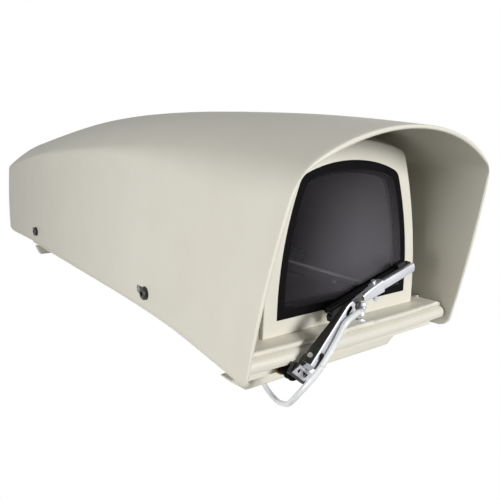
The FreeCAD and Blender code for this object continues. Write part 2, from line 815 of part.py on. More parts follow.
def plate_slot(x, first, last, z):
    """Cutter for one slot of the camera plate."""
    cut = box(x - plate_slot_half, x + plate_slot_half, front(first), front(last), z - 1,
              z + plate_thickness + 1)
    for distance in (first, last):
        cut = cut.fuse(rod(plate_slot_half, (x, front(distance), z - 1), (0, 0, 1), plate_thickness + 2))
    return cut


def make_lock_screw():
    """Knurled screw that clamps the camera plate to the floor boss."""
    y = front(lock_screw_set)
    top = plate_bottom() + plate_thickness + plate_clearance
    low = plate_bottom() - plate_rise + 3.0
    shank = rod(lock_screw_radius, (0, y, low), (0, 0, 1), top - low)
    return shank.fuse(knurled(7.0, (0, y, top), 5.0))


def knurled(radius, start, height):
    """Low round knob with flutes round its edge."""
    knob = rod(radius, start, (0, 0, 1), height)
    count = 12
    for index in range(count):
        angle = 2 * math.pi * index / count
        place = (start[0] + radius * math.cos(angle), start[1] + radius * math.sin(angle), start[2] - 1)
        knob = knob.cut(rod(0.13 * radius, place, (0, 0, 1), height + 2))
    return knob


def make_camera_screw():
    """Captive screw under the camera plate, with a standard camera thread."""
    y = front(camera_screw_set)
    z = plate_bottom()
    head = rod(8.0, (0, y, z - 4.5), (0, 0, 1), 4.5)
    return head.fuse(rod(camera_screw_radius, (0, y, z), (0, 0, 1), plate_thickness + 6.0))


def plate_screw_places():
    """Small screws through the camera plate: across, behind the sunshield's lower front corner."""
    x = plate_half - plate_screw_inset
    return [(side * x, distance) for side in (-1, 1) for distance in plate_screw_sets]


def make_plate_screws():
    """Pan-head screws with nuts, pressed in the camera plate."""
    screws = []
    low = plate_bottom()
    top = low + plate_thickness
    for x, distance in plate_screw_places():
        y = front(distance)
        head = rod(3.0, (x, y, top), (0, 0, 1), 1.8)
        shank = rod(plate_screw_radius, (x, y, low - 3.0), (0, 0, 1), top - low + 3.0)
        nut = rod(2.8, (x, y, low - 2.4), (0, 0, 1), 2.4)
        screws.append(head.fuse(shank).fuse(nut))
    return Part.makeCompound(screws)


def deck_screw_places():
    x = wall_face(deck_screw_set) - deck_screw_inset
    return [(side * x, deck_screw_set) for side in (-1, 1)]


def make_deck_screws():
    """Pan-head screws at the two ends of the deck, beside the window."""
    screws = []
    for x, distance in deck_screw_places():
        y = front(distance)
        head = rod(2.8, (x, y, deck_top), (0, 0, 1), 1.6)
        shank = rod(deck_screw_radius, (x, y, deck_top - deck_thickness), (0, 0, 1), deck_thickness)
        screws.append(head.fuse(shank))
    return Part.makeCompound(screws)


def body_screw_places():
    x = body_half - body_screw_inset
    return [(side * x, distance) for side in (-1, 1) for distance in body_screw_sets]


def make_body_screws():
    """Screws from under the deck into the floor of the inner body."""
    screws = []
    low = deck_top - deck_thickness
    for x, distance in body_screw_places():
        y = front(distance)
        head = rod(3.4, (x, y, low - 2.2), (0, 0, 1), 2.2)
        shank = rod(deck_screw_radius, (x, y, low), (0, 0, 1), deck_thickness + body_wall)
        screws.append(head.fuse(shank))
    return Part.makeCompound(screws)


# Rear plate and glands

def rear_screw_places():
    side = body_half - rear_screw_inset
    low = arch_foot + 12.0
    high = arch_foot + arch_shoulder_height - 3.8
    return [(-side, low), (side, low), (-0.6 * side, high), (0.6 * side, high)]


def rear_boss(x, z, outer):
    """Screw boss inside the rear end of the tube."""
    start = front(body_end) - rear_boss_length
    boss = rod(rear_boss_radius, (x, start, z), (0, 1, 0), rear_boss_length)
    wide = box(min(x, x * 1.25), max(x, x * 1.25), start, front(body_end), z - 4, z + 4)
    boss = boss.fuse(wide).common(outer)
    return boss.cut(rod(rear_screw_radius, (x, front(body_end) - 10.0, z), (0, 1, 0), 11.0))


def make_rear_plate():
    y = front(body_end)
    plate = arch_slab(body_sizes(body_half), arch_foot, y, rear_plate_thickness)
    for x, z in rear_screw_places():
        hole = rod(rear_screw_radius + screw_clearance, (x, y - 1, z), (0, 1, 0), rear_plate_thickness + 2)
        plate = plate.cut(hole)
    for side in (-1, 1):
        hole = rod(gland_radius - 1.0, (side * gland_spread, y - 1, arch_foot + gland_height), (0, 1, 0),
                   rear_plate_thickness + 2)
        plate = plate.cut(hole)
    return plate


def make_rear_screws():
    screws = []
    for x, z in rear_screw_places():
        y = front(body_end)
        shank = rod(rear_screw_radius, (x, y - 9.0, z), (0, 1, 0), 9.0 + rear_plate_thickness)
        head = rod(2 * rear_screw_radius, (x, y + rear_plate_thickness, z), (0, 1, 0), 2.6)
        socket = rod(0.9 * rear_screw_radius, (x, y + rear_plate_thickness + 1.2, z), (0, 1, 0), 2.0)
        screws.append(shank.fuse(head).cut(socket))
    return Part.makeCompound(screws)


def hexagon(radius, centre, direction_y, height):
    """Hexagonal bar along Y, with a width across corners of twice the radius."""
    x, y, z = centre
    corners = [(x + radius * math.cos(math.pi / 3 * k), y, z + radius * math.sin(math.pi / 3 * k))
               for k in range(6)]
    return prism(corners, (0, direction_y * height, 0))


def make_gland_bodies():
    """Hexagonal bodies of the cable glands, through the rear plate."""
    glands = []
    y = front(body_end)
    for side in (-1, 1):
        centre = (side * gland_spread, y + rear_plate_thickness, arch_foot + gland_height)
        body = hexagon(gland_nut_radius, centre, 1, 6.0)
        body = body.fuse(rod(gland_radius - 1.1, (centre[0], y - 10.0, centre[2]), (0, 1, 0), 30.0))
        body = body.cut(rod(gland_bore, (centre[0], y - 11.0, centre[2]), (0, 1, 0), 40.0))
        glands.append(body)
    return Part.makeCompound(glands)


def make_gland_caps():
    """Domed caps that squeeze the glands' seals."""
    caps = []
    y = front(body_end) + rear_plate_thickness + 6.3
    for side in (-1, 1):
        x = side * gland_spread
        z = arch_foot + gland_height
        cap = hexagon(gland_nut_radius - 0.5, (x, y, z), 1, 10.0)
        dome = Part.makeCone(gland_nut_radius - 2.0, gland_radius - 3.0, 7.0, Vector(x, y + 10.0, z),
                             Vector(0, 1, 0))
        cap = cap.fuse(dome)
        cap = cap.cut(rod(gland_radius - 1.05, (x, y - 1, z), (0, 1, 0), 11.0))
        caps.append(cap.cut(rod(gland_bore, (x, y, z), (0, 1, 0), 30.0)))
    return Part.makeCompound(caps)


def make_gland_nuts():
    nuts = []
    y = front(body_end) - 5.0
    for side in (-1, 1):
        x = side * gland_spread
        z = arch_foot + gland_height
        nut = hexagon(gland_nut_radius, (x, y, z), 1, 5.0)
        nuts.append(nut.cut(rod(gland_radius - 1.05, (x, y - 1, z), (0, 1, 0), 7.0)))
    return Part.makeCompound(nuts)


# Parts inside the body

def make_heater():
    """Finned aluminium heater on the inner floor, beside the camera plate."""
    x = plate_half + rail_wall + heater_gap + heater_width / 2
    y0 = front(heater_set)
    z = inner_floor()
    block = box(x - heater_width / 2, x + heater_width / 2, y0, y0 + heater_length, z, z + heater_height)
    gap = heater_length / (2 * heater_fins + 1)
    for index in range(heater_fins):
        y = y0 + gap * (2 * index + 1)
        block = block.cut(box(x - heater_width, x + heater_width, y, y + gap, z + 5.0, z + heater_height + 1))
    return block


def make_thermostat():
    x = -(plate_half + rail_wall + heater_gap + heater_width / 2)
    y = front(thermostat_set)
    z = inner_floor()
    disc = rod(thermostat_radius, (x, y, z), (0, 0, 1), 6.0)
    disc = disc.fuse(rod(0.7 * thermostat_radius, (x, y, z + 6.0), (0, 0, 1), 3.0))
    for side in (-1, 1):
        disc = disc.fuse(box(x + side * 4 - 0.4, x + side * 4 + 0.4, y - 3, y + 3, z + 9.0, z + 15.0))
    return disc


def make_terminal_board():
    y0 = front(board_set)
    z = inner_floor() + board_rise
    inset = 4.0
    board = box(-board_half, board_half, y0, y0 + board_depth, z, z + board_thickness)
    for side in (-1, 1):
        for y in (y0 + inset, y0 + board_depth - inset):
            foot = (side * (board_half - inset), y, inner_floor())
            board = board.fuse(rod(3.0, foot, (0, 0, 1), board_rise))
    return board


def make_terminal_block():
    """Screw terminals on the board."""
    y0 = front(board_set) + 0.5 * (board_depth - terminal_depth)
    z = inner_floor() + board_rise + board_thickness
    start = -0.5 * terminal_ways * terminal_pitch
    block = box(start, -start, y0, y0 + terminal_depth, z, z + terminal_height)
    for index in range(terminal_ways):
        x = start + terminal_pitch * (index + 0.5)
        block = block.cut(rod(2.0, (x, y0 + 0.5 * terminal_depth, z + terminal_height - 4.0), (0, 0, 1), 5.0))
        block = block.cut(box(x - 2.0, x + 2.0, y0 + terminal_depth - 4.0, y0 + terminal_depth + 1.0,
                              z + 1.5, z + 5.5))
    return block


# Wiper drive

def make_wiper_gearbox():
    """Flat gearbox under the deck, on the wiper's shaft."""
    top = deck_top - deck_thickness
    low = level(gearbox_drop)
    y0 = front(tray_start) + gearbox_set
    case = box(shaft_x - 14.0, shaft_x + 17.0, y0, y0 + gearbox_length, low, top)
    upright = [edge for edge in case.Edges if edge.BoundBox.ZLength > top - low - 0.1]
    case = case.makeFillet(4.0, upright)
    return case.cut(rod(shaft_radius + shaft_clearance, (shaft_x, y0 - 1, shaft_z), (0, 1, 0),
                        gearbox_length + 2))


def make_wiper_motor():
    """Round motor behind the gearbox."""
    low = level(gearbox_drop)
    top = deck_top - deck_thickness
    radius = 0.5 * (top - low) - 0.6
    y = front(tray_start) + gearbox_set + gearbox_length
    centre = (shaft_x + 2.0, y, 0.5 * (top + low))
    can = rod(radius, centre, (0, 1, 0), 38.0)
    cap = rod(0.55 * radius, (centre[0], y + 38.0, centre[2]), (0, 1, 0), 4.0)
    return can.fuse(cap)


def make_shaft_bush():
    """Bronze bush in the tray's front wall."""
    y0 = front(tray_start) - 1.0
    length = 14.0
    bush = rod(bush_radius - 0.02, (shaft_x, y0, shaft_z), (0, 1, 0), length)
    return bush.cut(rod(shaft_radius + shaft_clearance, (shaft_x, y0 - 1, shaft_z), (0, 1, 0), length + 2))


def make_shaft_gaiter():
    """Rubber gaiter in front of the bush, with two folds."""
    y0 = front(0.6)
    end = front(tray_start) - 1.0
    length = end - y0
    inner = shaft_radius + 0.3
    fold = gaiter_radius
    valley = gaiter_radius - 0.5
    points = [(inner, 0.0), (inner + 0.8, 0.0), (fold, 0.25 * length), (valley, 0.45 * length),
              (fold, 0.7 * length), (fold, length), (inner, length)]
    outline = [Vector(shaft_x + radius, y0 + place, shaft_z) for radius, place in points]
    face = Part.Face(Part.makePolygon(outline + outline[:1]))
    return face.revolve(Vector(shaft_x, y0, shaft_z), Vector(0, 1, 0), 360)


# Wiper. Its arm and blade lie in upright planes in front of the window

def along(angle, distance, start):
    turn = math.radians(angle)
    return (start[0] + distance * math.cos(turn), start[1] + distance * math.sin(turn))


shaft_point = (shaft_x, shaft_z)
lift_point = along(arm_angle, arm_lift_set, shaft_point)
arm_end = along(arm_angle, arm_length, shaft_point)
blade_centre = (blade_centre_x, level(blade_centre_z))
lift_y = front(arm_face + 4.0)
tongue_half = 0.5 * arm_width - arm_wall - 0.3
glass_y = front(window_set)


def make_wiper_shaft():
    """Drive shaft with a threaded front end for the head's nut."""
    y0 = front(head_face) - 1.9
    end = front(tray_start) + gearbox_set + gearbox_length - 4.0
    return rod(shaft_radius, (shaft_x, y0, shaft_z), (0, 1, 0), end - y0)


def make_wiper_head():
    """Cast head: squared block on the shaft with a recess for the nut, and a tongue for the arm's rivet."""
    y0 = front(head_face)
    depth = head_back - head_face
    block = box(head_reach[0], head_reach[1], 0.0, depth, -head_half, head_half)
    corners = [edge for edge in block.Edges if edge.BoundBox.YLength > 0.9 * depth]
    block = block.makeFillet(2.0, corners)
    rim = [edge for edge in block.Edges if edge.BoundBox.YMax < 0.01]
    block = block.makeFillet(0.8, rim)
    block.Placement = oriented(arm_angle, shaft_point, y0)
    hub = rod(head_hub_radius, (shaft_x, y0 + 0.5 * depth, shaft_z), (0, 1, 0), 0.5 * depth + head_web_back)
    web = rounded_bar(shaft_point, along(arm_angle, arm_lift_set - 2.0, shaft_point), tongue_half, y0 + 1.0,
                      depth - 1.0)
    head = block.fuse(hub).fuse(web).fuse(head_tongue())
    head = head.cut(rod(head_recess_radius, (shaft_x, y0 - 1, shaft_z), (0, 1, 0), head_recess_depth + 1))
    head = head.cut(rod(shaft_radius, (shaft_x, y0 - 1, shaft_z), (0, 1, 0), depth + 4))
    return head.cut(pin_rod(lift_point, lift_y, arm_angle + 90.0, rivet_radius, 14.0))


def head_tongue():
    """Tongue inside the arm's channel, sloped in front so that the arm can lift."""
    outline = [(-6.5, 6.0), (-6.5, 1.7), (-1.4, -2.1), (1.6, -2.3), (3.4, -0.8), (3.4, 2.0), (-1.0, 6.5)]
    tongue = prism([(x, y, -tongue_half) for x, y in outline], (0, 0, 2 * tongue_half))
    tongue.Placement = oriented(arm_angle, lift_point, lift_y)
    return tongue


def pin_rod(point, y, angle, radius, half_length):
    """Round bar through a point, lying across the arm in its own plane."""
    turn = math.radians(angle)
    direction = (math.cos(turn), 0, math.sin(turn))
    start = (point[0] - half_length * direction[0], y, point[1] - half_length * direction[2])
    return rod(radius, start, direction, 2 * half_length)


def make_head_nut():
    """Nut on the shaft's thread, inside the head's recess."""
    y0 = front(head_face) + head_recess_depth
    nut = hexagon(5.0, (shaft_x, y0, shaft_z), -1, 3.2)
    return nut.cut(rod(shaft_radius, (shaft_x, y0 - 5, shaft_z), (0, 1, 0), 6.0))


def make_lift_rivet():
    """Rivet that the arm lifts on, pressed in the head."""
    half = 0.5 * arm_width + 1.0
    rivet = pin_rod(lift_point, lift_y, arm_angle + 90.0, rivet_radius, half)
    return rivet


def oriented(angle, start, y):
    """Placement that turns a piece drawn along +X in an upright plane to an angle about Y."""
    return Placement(Vector(start[0], y, start[1]), Rotation(Vector(0, 1, 0), -angle))


def make_wiper_arm():
    """Pressed channel that tapers, ending in a bent strip to the blade's bracket."""
    y0 = 0.0
    reach = arm_length - arm_lift_set
    wide = 0.5 * arm_width
    narrow = 0.38 * arm_width
    outline = [(-5.0, -wide), (reach, -narrow), (reach + 4.0, -0.3 * narrow), (reach + 4.0, narrow),
               (reach, narrow), (-5.0, wide)]
    channel = prism([(x, y0, z) for x, z in outline], (0, arm_depth, 0))
    inner = [(-7.0, -wide + arm_wall), (reach - 2.0, -narrow + arm_wall), (reach - 2.0, narrow - arm_wall),
             (-7.0, wide - arm_wall)]
    channel = channel.cut(prism([(x, y0 + arm_wall, z) for x, z in inner], (0, arm_depth, 0)))
    end = reach + 5.0
    taper = [(6.0, arm_depth), (end, arm_tip_depth), (end, arm_depth + 1.0), (6.0, arm_depth + 1.0)]
    channel = channel.cut(prism([(x, y, -arm_width) for x, y in taper], (0, 0, 2 * arm_width)))
    window = [(2.5, -wide - 1.0), (8.5, -wide - 1.0), (8.5, -0.1), (2.5, -0.1)]
    channel = channel.cut(prism([(x, y0 - 1.0, z) for x, z in window], (0, arm_depth + 2.0, 0)))
    slot = rounded_bar((reach - 12.0, 0.6), (reach - 5.0, 0.4), 1.6, y0 - 1.0, 3.0)
    channel = channel.cut(slot)
    channel.Placement = oriented(arm_angle, lift_point, front(arm_face))
    for_rivet = pin_rod(lift_point, lift_y, arm_angle + 90.0, rivet_radius + pin_clearance, 14.0)
    channel = channel.cut(for_rivet)
    return channel.fuse(arm_strip())


def arm_strip():
    """Spring strip from the channel's end to the blade's bracket, stepping back to the blade."""
    start = along(arm_angle, arm_length - 3.0, shaft_point)
    end = along(blade_angle, -7.0, blade_centre)
    back = bracket_face() - strip_thickness
    flat_y, flat_z = front(strip_set), level(strip_height)
    path = [(start[0], front(arm_face) + 1.8, start[1]), (strip_flat[0], flat_y, flat_z),
            (strip_flat[1], flat_y, flat_z), (end[0] - 2.0, back, end[1] + 0.4),
            (end[0] + 3.0, back, end[1] + 1.6)]
    sections = []
    for x, y, z in path:
        corners = [(x, y, z + strip_half), (x, y, z - strip_half), (x, y + strip_thickness, z - strip_half),
                   (x, y + strip_thickness, z + strip_half)]
        sections.append(Part.makePolygon([Vector(*corner) for corner in corners + corners[:1]]))
    return Part.makeLoft(sections, True, True)


def bracket_face():
    """Y of the front of the blade's bracket."""
    return glass_y - blade_clearance - rubber_height - holder_height - spine_height - 5.0


def blade_box(first, last, y0, y1, low, high):
    """Block along the blade, turned to its angle."""
    block = box(first, last, 0.0, y1 - y0, low, high)
    block.Placement = oriented(blade_angle, blade_centre, y0)
    return block


def make_blade_bracket():
    """Pressed bracket, open towards the window, that the blade rocks in."""
    y0 = bracket_face()
    inner = bracket_half - bracket_wall
    block = blade_box(-11.0, 12.0, y0, y0 + bracket_depth, -bracket_half, bracket_half)
    gap = blade_box(-12.0, 13.0, y0 + bracket_wall, y0 + bracket_depth + 1, -inner, inner)
    taper = blade_box(-12.0, -6.0, y0 + 0.6 * bracket_depth, y0 + bracket_depth + 1, -6.0, 6.0)
    pin = pin_rod(blade_centre, rock_y(), blade_angle + 90.0, rock_pin_radius, 9.0)
    return block.cut(gap).cut(taper).cut(pin)


def rock_y():
    return bracket_face() + rock_set


def make_rock_pin():
    """Cross pin of the blade, riveted in the bracket."""
    return pin_rod(blade_centre, rock_y(), blade_angle + 90.0, rock_pin_radius, bracket_half + 0.9)


def make_blade_spine():
    """Steel spine along the blade's outer half, with a lug that turns on the cross pin."""
    y1 = glass_y - blade_clearance - rubber_height - holder_height
    y0 = y1 - spine_height
    lug_half = bracket_half - bracket_wall - 0.4
    spine = blade_box(13.5, blade_right, y0, y1, -spine_half, spine_half)
    ridge = blade_box(13.5, blade_right, y0 - 0.8, y0 + 0.5, 0.2 * spine_half, spine_half)
    neck = blade_box(-14.0, 14.0, y0, y1, -0.7 * spine_half, 0.7 * spine_half)
    lug = blade_box(-3.0, 3.0, rock_y() - 2.0, y1 - 0.5 * spine_height, -lug_half, lug_half)
    spine = spine.fuse(ridge).fuse(neck).fuse(lug)
    hole = pin_rod(blade_centre, rock_y(), blade_angle + 90.0, rock_pin_radius + pin_clearance, 9.0)
    return spine.cut(hole)


def make_blade_holder():
    """Black channel that grips the rubber, thicker along its inner half, with a clip at each end."""
    y1 = glass_y - blade_clearance - rubber_height
    y0 = y1 - holder_height
    holder = blade_box(-blade_left, blade_right - 1.0, y0, y1, -holder_half, holder_half)
    back = blade_box(-blade_left, -14.0, y0 - spine_height, y0 + 1.0, -0.8 * holder_half, 0.8 * holder_half)
    outer_clip = blade_box(blade_right - 9.0, blade_right - 1.0, y0, y1, 0.0, holder_half + 3.6)
    inner_clip = blade_box(-blade_left, -blade_left + 6.0, y0, y1, -holder_half - 2.4, 0.0)
    groove = blade_box(-blade_left - 1.0, blade_right, y1 - 2.2, y1 + 1, -1.25, 1.25)
    return holder.fuse(back).fuse(outer_clip).fuse(inner_clip).cut(groove)


def make_blade_rubber():
    """Wiping rubber: a bead in the holder, a neck and a tapering edge."""
    y1 = glass_y - blade_clearance
    y0 = y1 - rubber_height
    side = [(1.2, -2.2), (1.2, 0.6), (2.4, 1.0), (2.4, 2.0), (0.9, 2.6), (0.35, rubber_height)]
    outline = side + [(-z, y) for z, y in reversed(side)]
    length = blade_left + blade_right - 2.0
    rubber = prism([(0.0, y, z) for z, y in outline], (length, 0, 0))
    rubber.translate(Vector(-blade_left + 0.5, 0, 0))
    rubber.Placement = oriented(blade_angle, blade_centre, y0).multiply(rubber.Placement)
    return rubber


def make_washer_nozzle():
    """Jet beside the arm's end: a nipple for the hose, a body and a lug behind the arm's strip."""
    before, tip = [Vector(*[float(value) for value in point]) for point in hose_parts()[1][-2:]]
    lug_y = front(strip_set) + strip_thickness
    x0 = nozzle_x - nozzle_half
    x1 = nozzle_x + nozzle_half
    body = box(x0, x1, front(-14.4), lug_y + 2.0, level(31.5), level(strip_height - strip_half - 0.4))
    lug = box(x0, x1, lug_y, lug_y + 2.0, level(31.5), level(strip_height + 1.0))
    nipple = Part.makeCylinder(hose_radius - 0.4, 5.0, tip, (tip - before).normalize())
    jet = rod(2.0, (nozzle_x, front(-9.0), level(32.0)), (0.35, 0.5, 0.4), 9.0)
    return body.fuse(nipple).fuse(jet).fuse(lug)


# Washer hose

def hose_parts():
    """Corner points of the free loop and of the length on the arm."""
    loop = [(x, front(y), level(z)) for x, y, z in loop_corners]
    on_arm = [(x, front(y), level(z)) for x, y, z in arm_corners]
    middle = tuple(a + split_share * (b - a) for a, b in zip(loop[-1], on_arm[0]))
    return loop + [middle], [middle] + on_arm


def hose_wire(points):
    """Straight runs joined by tangent arcs, each as large as its two runs allow."""
    vectors = [Vector(*point) for point in points]
    edges = []
    start = vectors[0]
    for before, corner, after in zip(vectors, vectors[1:], vectors[2:]):
        inward = (corner - before).normalize()
        outward = (after - corner).normalize()
        turn = math.acos(max(-1.0, min(1.0, inward.dot(outward))))
        shorter = min((corner - before).Length, (after - corner).Length)
        setback = 0.45 * shorter
        radius = setback / math.tan(0.5 * turn)
        print("hose arc radius %.1f" % radius)
        first = corner - inward * setback
        last = corner + outward * setback
        bisector = (outward - inward).normalize()
        centre = corner + bisector * (radius / math.cos(0.5 * turn))
        middle = centre - bisector * radius
        edges.append(Part.makeLine(start, first))
        edges.append(Part.Arc(first, middle, last).toShape())
        start = last
    edges.append(Part.makeLine(start, vectors[-1]))
    return Part.Wire(edges)


def hose_tube(points):
    path = hose_wire(points)
    direction = Vector(*points[1]) - Vector(*points[0])
    ring = Part.Wire(Part.makeCircle(hose_radius, Vector(*points[0]), direction))
    tube = path.makePipeShell([ring], True, True)
    expected = math.pi * hose_radius ** 2 * path.Length
    print("hose length %.1f volume ratio %.4f" % (path.Length, tube.Volume / expected))
    return tube


def make_hose_outlet():
    """Flanged spigot under the base plate that the washer hose leaves from."""
    flange = rod(7.0, (outlet_x, front(outlet_set), floor_under - 2.0), (0, 0, 1), 2.0)
    neck = rod(outlet_radius, (outlet_x, front(outlet_set), floor_under - 2.0), (0, 0, 1), 8.0)
    collar = rod(hose_radius + 1.1, (outlet_x, front(outlet_set), floor_under - 5.0), (0, 0, 1), 4.0)
    return flange.fuse(neck).fuse(collar)


def make_washer_hose():
    return hose_tube(hose_parts()[0])


def make_arm_hose():
    return hose_tube(hose_parts()[1])


nodes = {
    "sunshield": make_sunshield,
    "cover_screws": make_cover_screws,
    "cover_spacers": make_cover_spacers,
    "base_tray": make_base_tray,
    "base_plate": make_base_plate,
    "front_foot": lambda: make_foot(front_foot_set, front_foot_half, front_foot_flare),
    "rear_foot": lambda: make_foot(rear_foot_set, rear_foot_half, rear_foot_flare),
    "foot_screws": make_foot_screws,
    "inner_body": make_inner_body,
    "window_frame": make_window_frame,
    "frame_screws": make_frame_screws,
    "window_gasket": make_window_gasket,
    "window_glass": make_window_glass,
    "camera_plate": make_camera_plate,
    "plate_lock_screw": make_lock_screw,
    "camera_screw": make_camera_screw,
    "rear_plate": make_rear_plate,
    "rear_plate_screws": make_rear_screws,
    "gland_bodies": make_gland_bodies,
    "gland_caps": make_gland_caps,
    "gland_nuts": make_gland_nuts,
    "heater": make_heater,
    "thermostat": make_thermostat,
    "terminal_board": make_terminal_board,
    "terminal_block": make_terminal_block,
    "wiper_gearbox": make_wiper_gearbox,
    "wiper_motor": make_wiper_motor,
    "shaft_bush": make_shaft_bush,
    "shaft_gaiter": make_shaft_gaiter,
    "wiper_shaft": make_wiper_shaft,
    "wiper_head": make_wiper_head,
    "head_nut": make_head_nut,
    "lift_rivet": make_lift_rivet,
    "wiper_arm": make_wiper_arm,
    "blade_bracket": make_blade_bracket,
    "rock_pin": make_rock_pin,
    "blade_spine": make_blade_spine,
    "blade_holder": make_blade_holder,
    "blade_rubber": make_blade_rubber,
    "washer_nozzle": make_washer_nozzle,
    "hose_outlet": make_hose_outlet,
    "washer_hose": make_washer_hose,
    "arm_hose": make_arm_hose,
    "plate_screws": make_plate_screws,
    "deck_screws": make_deck_screws,
    "body_screws": make_body_screws,
}

os.makedirs("parts", exist_ok=True)
for name, make in nodes.items():
    shape = make()
    shape.exportStep("parts/" + name + ".step")
    print(name, len(shape.Solids), shape.isValid(), round(shape.Volume))
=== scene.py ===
import math

import bmesh
import bpy
import numpy as np
from mathutils import Matrix, Vector


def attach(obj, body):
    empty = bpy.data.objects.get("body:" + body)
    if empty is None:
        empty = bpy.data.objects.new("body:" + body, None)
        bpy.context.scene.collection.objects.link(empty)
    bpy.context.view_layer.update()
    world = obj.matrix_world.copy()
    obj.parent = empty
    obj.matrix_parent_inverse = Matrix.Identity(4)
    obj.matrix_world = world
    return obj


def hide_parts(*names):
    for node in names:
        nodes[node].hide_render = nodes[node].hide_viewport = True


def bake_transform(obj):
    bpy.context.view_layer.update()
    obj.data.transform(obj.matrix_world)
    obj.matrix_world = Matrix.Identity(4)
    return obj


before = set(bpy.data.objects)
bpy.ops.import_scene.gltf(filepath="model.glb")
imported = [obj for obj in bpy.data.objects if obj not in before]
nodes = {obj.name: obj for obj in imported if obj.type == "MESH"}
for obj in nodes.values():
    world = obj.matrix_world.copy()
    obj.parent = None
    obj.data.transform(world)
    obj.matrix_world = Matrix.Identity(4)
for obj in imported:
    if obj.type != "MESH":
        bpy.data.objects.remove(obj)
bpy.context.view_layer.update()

mm = 0.001


# Camera, as far away and as turned as the photographer stood

def look(azimuth, elevation, roll, place, lens):
    """Camera matrix from three turns: round the upright axis, up, and about the line of sight."""
    a, e, r = (math.radians(angle) for angle in (azimuth, elevation, roll))
    back = np.array([math.sin(a) * math.cos(e), -math.cos(a) * math.cos(e), math.sin(e)])
    right = np.array([math.cos(a), math.sin(a), 0.0])
    up = np.cross(back, right)
    turned_right = math.cos(r) * right + math.sin(r) * up
    turned_up = math.cos(r) * up - math.sin(r) * right
    matrix = np.eye(4)
    matrix[:3, 0], matrix[:3, 1], matrix[:3, 2], matrix[:3, 3] = turned_right, turned_up, back, place
    data = bpy.data.cameras.new("camera")
    data.lens, data.sensor_width, data.sensor_fit = lens, 36.0, "HORIZONTAL"
    data.clip_start = 0.02
    camera = bpy.data.objects.new("camera", data)
    camera.matrix_world = Matrix([list(row) for row in matrix])
    bpy.context.scene.collection.objects.link(camera)
    bpy.context.scene.camera = camera


look(-36.87, 12.18, 1.15, (-0.26908, -0.51162, 0.16691), 38.79)


# Meshes from numpy arrays

front_to_holes = 283.5
hem_above_feet = 22.5


def part_point(points):
    """Points in mm beside the middle, behind the sunshield's lower front corners and above its lower edge, given
    in metres in the part frame."""
    return (np.asarray(points, float) + (0.0, -front_to_holes, hem_above_feet)) * mm


def in_part(shape):
    """A (points, faces) pair with its points in the part frame."""
    points, faces = shape
    return part_point(points), faces


def mesh_object(name, points, faces, material, body, smooth=True):
    """A mesh of the given points and faces with doubles merged and faces turned outwards."""
    mesh = bpy.data.meshes.new(name)
    mesh.from_pydata(np.asarray(points, float).tolist(), [], faces)
    work = bmesh.new()
    work.from_mesh(mesh)
    bmesh.ops.remove_doubles(work, verts=work.verts, dist=1e-6)
    bmesh.ops.dissolve_degenerate(work, dist=1e-7, edges=work.edges)
    bmesh.ops.recalc_face_normals(work, faces=work.faces)
    work.to_mesh(mesh)
    work.free()
    mesh.polygons.foreach_set("use_smooth", [smooth] * len(mesh.polygons))
    mesh.materials.append(material)
    made = bpy.data.objects.new(name, mesh)
    bpy.context.scene.collection.objects.link(made)
    if body:
        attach(made, body)
    return made


def grid_faces(rows, columns, closed=True):
    """Quads between neighbouring rows of a grid whose points lie row by row. closed joins the last column
    to the first."""
    row, column = np.meshgrid(np.arange(rows - 1), np.arange(columns if closed else columns - 1), indexing="ij")
    after = (column + 1) % columns
    quads = np.stack([row * columns + column, row * columns + after,
                      (row + 1) * columns + after, (row + 1) * columns + column], -1)
    return quads.reshape(-1, 4).tolist()


def loft(loops):
    """Skin over closed loops in a row, with a flat face over each end."""
    loops = np.asarray(loops, float)
    rows, columns = loops.shape[:2]
    last = (rows - 1) * columns
    ends = [list(range(columns)), list(range(last, last + columns))]
    return loops.reshape(-1, 3), grid_faces(rows, columns) + ends


def joined(parts):
    """Several lofts as one list of points and faces."""
    points, faces, count = [], [], 0
    for some, more in parts:
        points.append(some)
        faces += [[index + count for index in face] for face in more]
        count += len(some)
    return np.vstack(points), faces


def cut_through(made, cutters):
    """Cuts closed shapes out of a piece. Shapes that meet each other are cut in calls of their own."""
    cutter = mesh_object("cutter", *in_part(joined(cutters)), made.data.materials[0], None)
    modifier = made.modifiers.new("holes", "BOOLEAN")
    modifier.object, modifier.operation, modifier.solver = cutter, "DIFFERENCE", "EXACT"
    bpy.context.view_layer.update()
    cut = bpy.data.meshes.new_from_object(made.evaluated_get(bpy.context.evaluated_depsgraph_get()))
    made.modifiers.clear()
    made.data = cut
    bpy.data.objects.remove(cutter)


def sharpen(made, degrees):
    """Edges that turn more than the angle stay crisp, the rest are shaded smooth."""
    made.data.set_sharp_from_angle(angle=math.radians(degrees))


# Materials

def linear(hex_colour):
    """sRGB hex digits to linear light: c/12.92 below the toe, else ((c + 0.055)/1.055) to the 2.4."""
    value = np.array([int(hex_colour[i:i + 2], 16) for i in (0, 2, 4)]) / 255
    value = np.where(value <= 0.04045, value / 12.92, ((value + 0.055) / 1.055) ** 2.4)
    return (*value.tolist(), 1.0)


def add(tree, kind, inputs=(), **settings):
    """Adds one node, sets its attributes and fills its sockets with values or links."""
    node = tree.nodes.new("ShaderNode" + kind)
    for name, value in settings.items():
        setattr(node, name, value)
    for socket, value in dict(inputs).items():
        if isinstance(value, bpy.types.NodeSocket):
            tree.links.new(value, node.inputs[socket])
        else:
            node.inputs[socket].default_value = value
    return node


def blank(name):
    """A new material with an empty tree and its output."""
    material = bpy.data.materials.new(name)
    material.use_nodes = True
    material.node_tree.nodes.clear()
    return material, material.node_tree, add(material.node_tree, "OutputMaterial")


